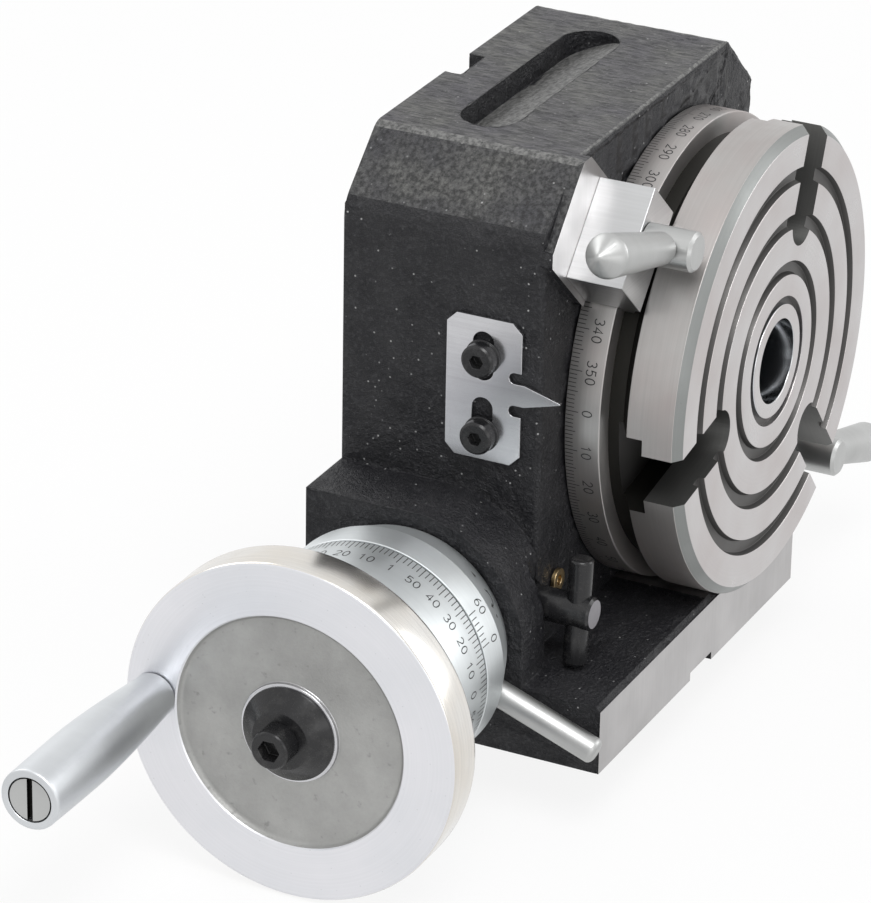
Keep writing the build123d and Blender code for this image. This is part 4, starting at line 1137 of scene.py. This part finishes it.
def make_small_parts():
    """Pieces whose CAD shape is right: rounded edges and a finish."""
    rows = []
    for side in ("near", "far"):
        lever = f"{side}_clamp_lever"
        rows += [
            (f"clamp_block_{side}", satin_steel, "base", "satin_steel", 0.4, 3),
            (f"clamp_screw_{side}", lever_chrome, lever, "satin_steel", 0.2, 2),
            (f"clamp_handle_{side}", lever_chrome, lever, "satin_steel", 0.3, 2),
        ]
    rows += [
        ("index_plate", plated, "base", "bright_plated", 0.15, 2),
        ("index_screws", oxide, "base", "black_oxide", 0.4, 3),
        ("oil_nipple", worn_brass, "base", "brass", 0.15, 2),
        ("lock_screw", oxide, "sleeve_lock", "black_oxide", 0.2, 2),
        ("lock_bar", oxide, "sleeve_lock", "black_oxide", 0.1, 2),
        ("engage_lever", lever_chrome, "worm_sleeve", "satin_chrome", 0.1, 2),
        ("centre_sleeve", ground_face, "table", "satin_steel", 0.3, 2),
    ]
    made = {}
    for node, material, body, slot, bevel, segments in rows:
        made[node] = dressed(node, f"{node}_body", material, body, bevel, segments)
    second_finish(made["lock_screw"], screw_end, lambda polygon: polygon.normal.y < -0.95)
    second_finish(
        made["centre_sleeve"], bore_steel, lambda polygon: abs(polygon.normal.y) < 0.5
    )
    plain = {
        "spindle_bush": bronze, "rear_cover": paint_rough, "cover_screws": oxide,
        "lock_pad": worn_brass, "ring_screws": oxide, "worm_wheel": bronze,
        "wheel_key": machine_steel, "thrust_washer": bronze, "lock_nut": machine_steel,
        "eccentric_sleeve": machine_steel, "collar_screws": oxide, "worm_bush_front": bronze,
        "worm_bush_rear": bronze, "worm_shaft": machine_steel, "worm_washer": machine_steel,
        "adjust_nut": machine_steel, "dial_screw": oxide, "handwheel_key": machine_steel,
    }
    for node, material in plain.items():
        mesh = frame["nodes"][node].data
        mesh.materials.clear()
        mesh.materials.append(material)


# Camera, light and floor


def make_camera():
    """Camera at its fitted place, with the view's centre shifted."""
    azimuth = math.radians(camera_azimuth)
    elevation = math.radians(camera_elevation)
    roll = math.radians(camera_roll)
    back = Vector((
        math.sin(azimuth) * math.cos(elevation),
        -math.cos(azimuth) * math.cos(elevation),
        math.sin(elevation),
    ))
    level = Vector((math.cos(azimuth), math.sin(azimuth), 0))
    rise = back.cross(level)
    right = level * math.cos(roll) + rise * math.sin(roll)
    up = rise * math.cos(roll) - level * math.sin(roll)
    data = bpy.data.cameras.new("camera")
    data.sensor_width = sensor
    data.lens = focal_pixels * sensor / image_height
    data.shift_x = (image_width / 2 - centre_x) / image_height
    data.shift_y = (centre_y - image_height / 2) / image_height
    data.clip_end = 20
    camera = show("camera", data)
    matrix = Matrix((right, up, back)).transposed().to_4x4()
    matrix.translation = camera_place * MM
    camera.matrix_world = matrix
    bpy.context.scene.camera = camera


def area_light(name, place, size, power):
    """White lamp that looks at the middle of the object; metres and watts."""
    data = bpy.data.lights.new(name, "AREA")
    data.shape = "RECTANGLE"
    data.size, data.size_y = size
    data.energy = power
    lamp = show(name, data)
    direction = Vector((0, 0, 0.05)) - Vector(place)
    lamp.rotation_euler = direction.to_track_quat("-Z", "Y").to_euler()
    lamp.location = place


def math_node(tree, operation, first, second):
    """Two values combined, each a number or a socket."""
    node = tree.nodes.new("ShaderNodeMath")
    node.operation = operation
    for index, value in enumerate((first, second)):
        if isinstance(value, float):
            node.inputs[index].default_value = value
        else:
            tree.links.new(value, node.inputs[index])
    return node.outputs[0]


def blend_shaders(tree, share, first, second, output):
    """Mix of two shaders, linked to the output node."""
    blend = tree.nodes.new("ShaderNodeMixShader")
    tree.links.new(share, blend.inputs[0])
    tree.links.new(first.outputs[0], blend.inputs[1])
    tree.links.new(second.outputs[0], blend.inputs[2])
    tree.links.new(blend.outputs[0], output.inputs["Surface"])


def make_world():
    """White to the camera and in reflections, softer as a light."""
    world = bpy.data.worlds.new("studio")
    bpy.context.scene.world = world
    world.use_nodes = True
    tree = world.node_tree
    tree.nodes.clear()
    output = tree.nodes.new("ShaderNodeOutputWorld")
    backgrounds = []
    for strength in (0.55, 1.0):
        background = tree.nodes.new("ShaderNodeBackground")
        background.inputs["Color"].default_value = (1, 1, 1, 1)
        background.inputs["Strength"].default_value = strength
        backgrounds.append(background)
    path = tree.nodes.new("ShaderNodeLightPath").outputs
    seen = math_node(tree, "MAXIMUM", path["Is Camera Ray"], path["Is Glossy Ray"])
    seen = math_node(tree, "MAXIMUM", seen, path["Is Transmission Ray"])
    blend_shaders(tree, seen, *backgrounds, output)


def make_floor():
    """Pale floor, white to the camera but for the object's shadow."""
    mesh = bpy.data.meshes.new("floor")
    half = floor_half
    level = (wheel_low.z - floor_gap) * MM
    corners = [
        (x, y, level) for x, y in ((-half, -half), (half, -half), (half, half), (-half, half))
    ]
    mesh.from_pydata(corners, [], [(0, 1, 2, 3)])
    floor = show("floor", mesh)
    material = bpy.data.materials.new("pale_floor")
    material.use_nodes = True
    tree = material.node_tree
    shader = tree.nodes["Principled BSDF"]
    shader.inputs["Base Color"].default_value = (0.86, 0.86, 0.86, 1)
    shader.inputs["Roughness"].default_value = 0.8
    glow = tree.nodes.new("ShaderNodeEmission")
    glow.inputs["Strength"].default_value = 1.0
    path = tree.nodes.new("ShaderNodeLightPath").outputs
    seen = math_node(tree, "MAXIMUM", path["Is Camera Ray"], path["Is Glossy Ray"])
    share = math_node(tree, "MULTIPLY", seen, 0.85)
    blend_shaders(tree, share, shader, glow, tree.nodes["Material Output"])
    mesh.materials.append(material)


make_camera()
make_world()
make_floor()
area_light("key", (-0.7, -0.5, 1.4), (0.8, 0.8), 14)
area_light("fill", (0.8, -1.2, 0.6), (0.9, 0.9), 6)
area_light("back", (0.3, 1.2, 1.0), (0.8, 0.8), 5)
area_light("low", (-0.7, -1.0, 0.25), (0.7, 0.4), 1.2)
paint_casting()
make_faceplate()
make_ring()
make_collar()
make_dial()
make_handwheel()
make_hub_parts()
make_handle()
make_small_parts()
bpy.context.scene.view_settings.view_transform = "Standard"


def plain(box):
    return [list(map(float, corner)) for corner in box]
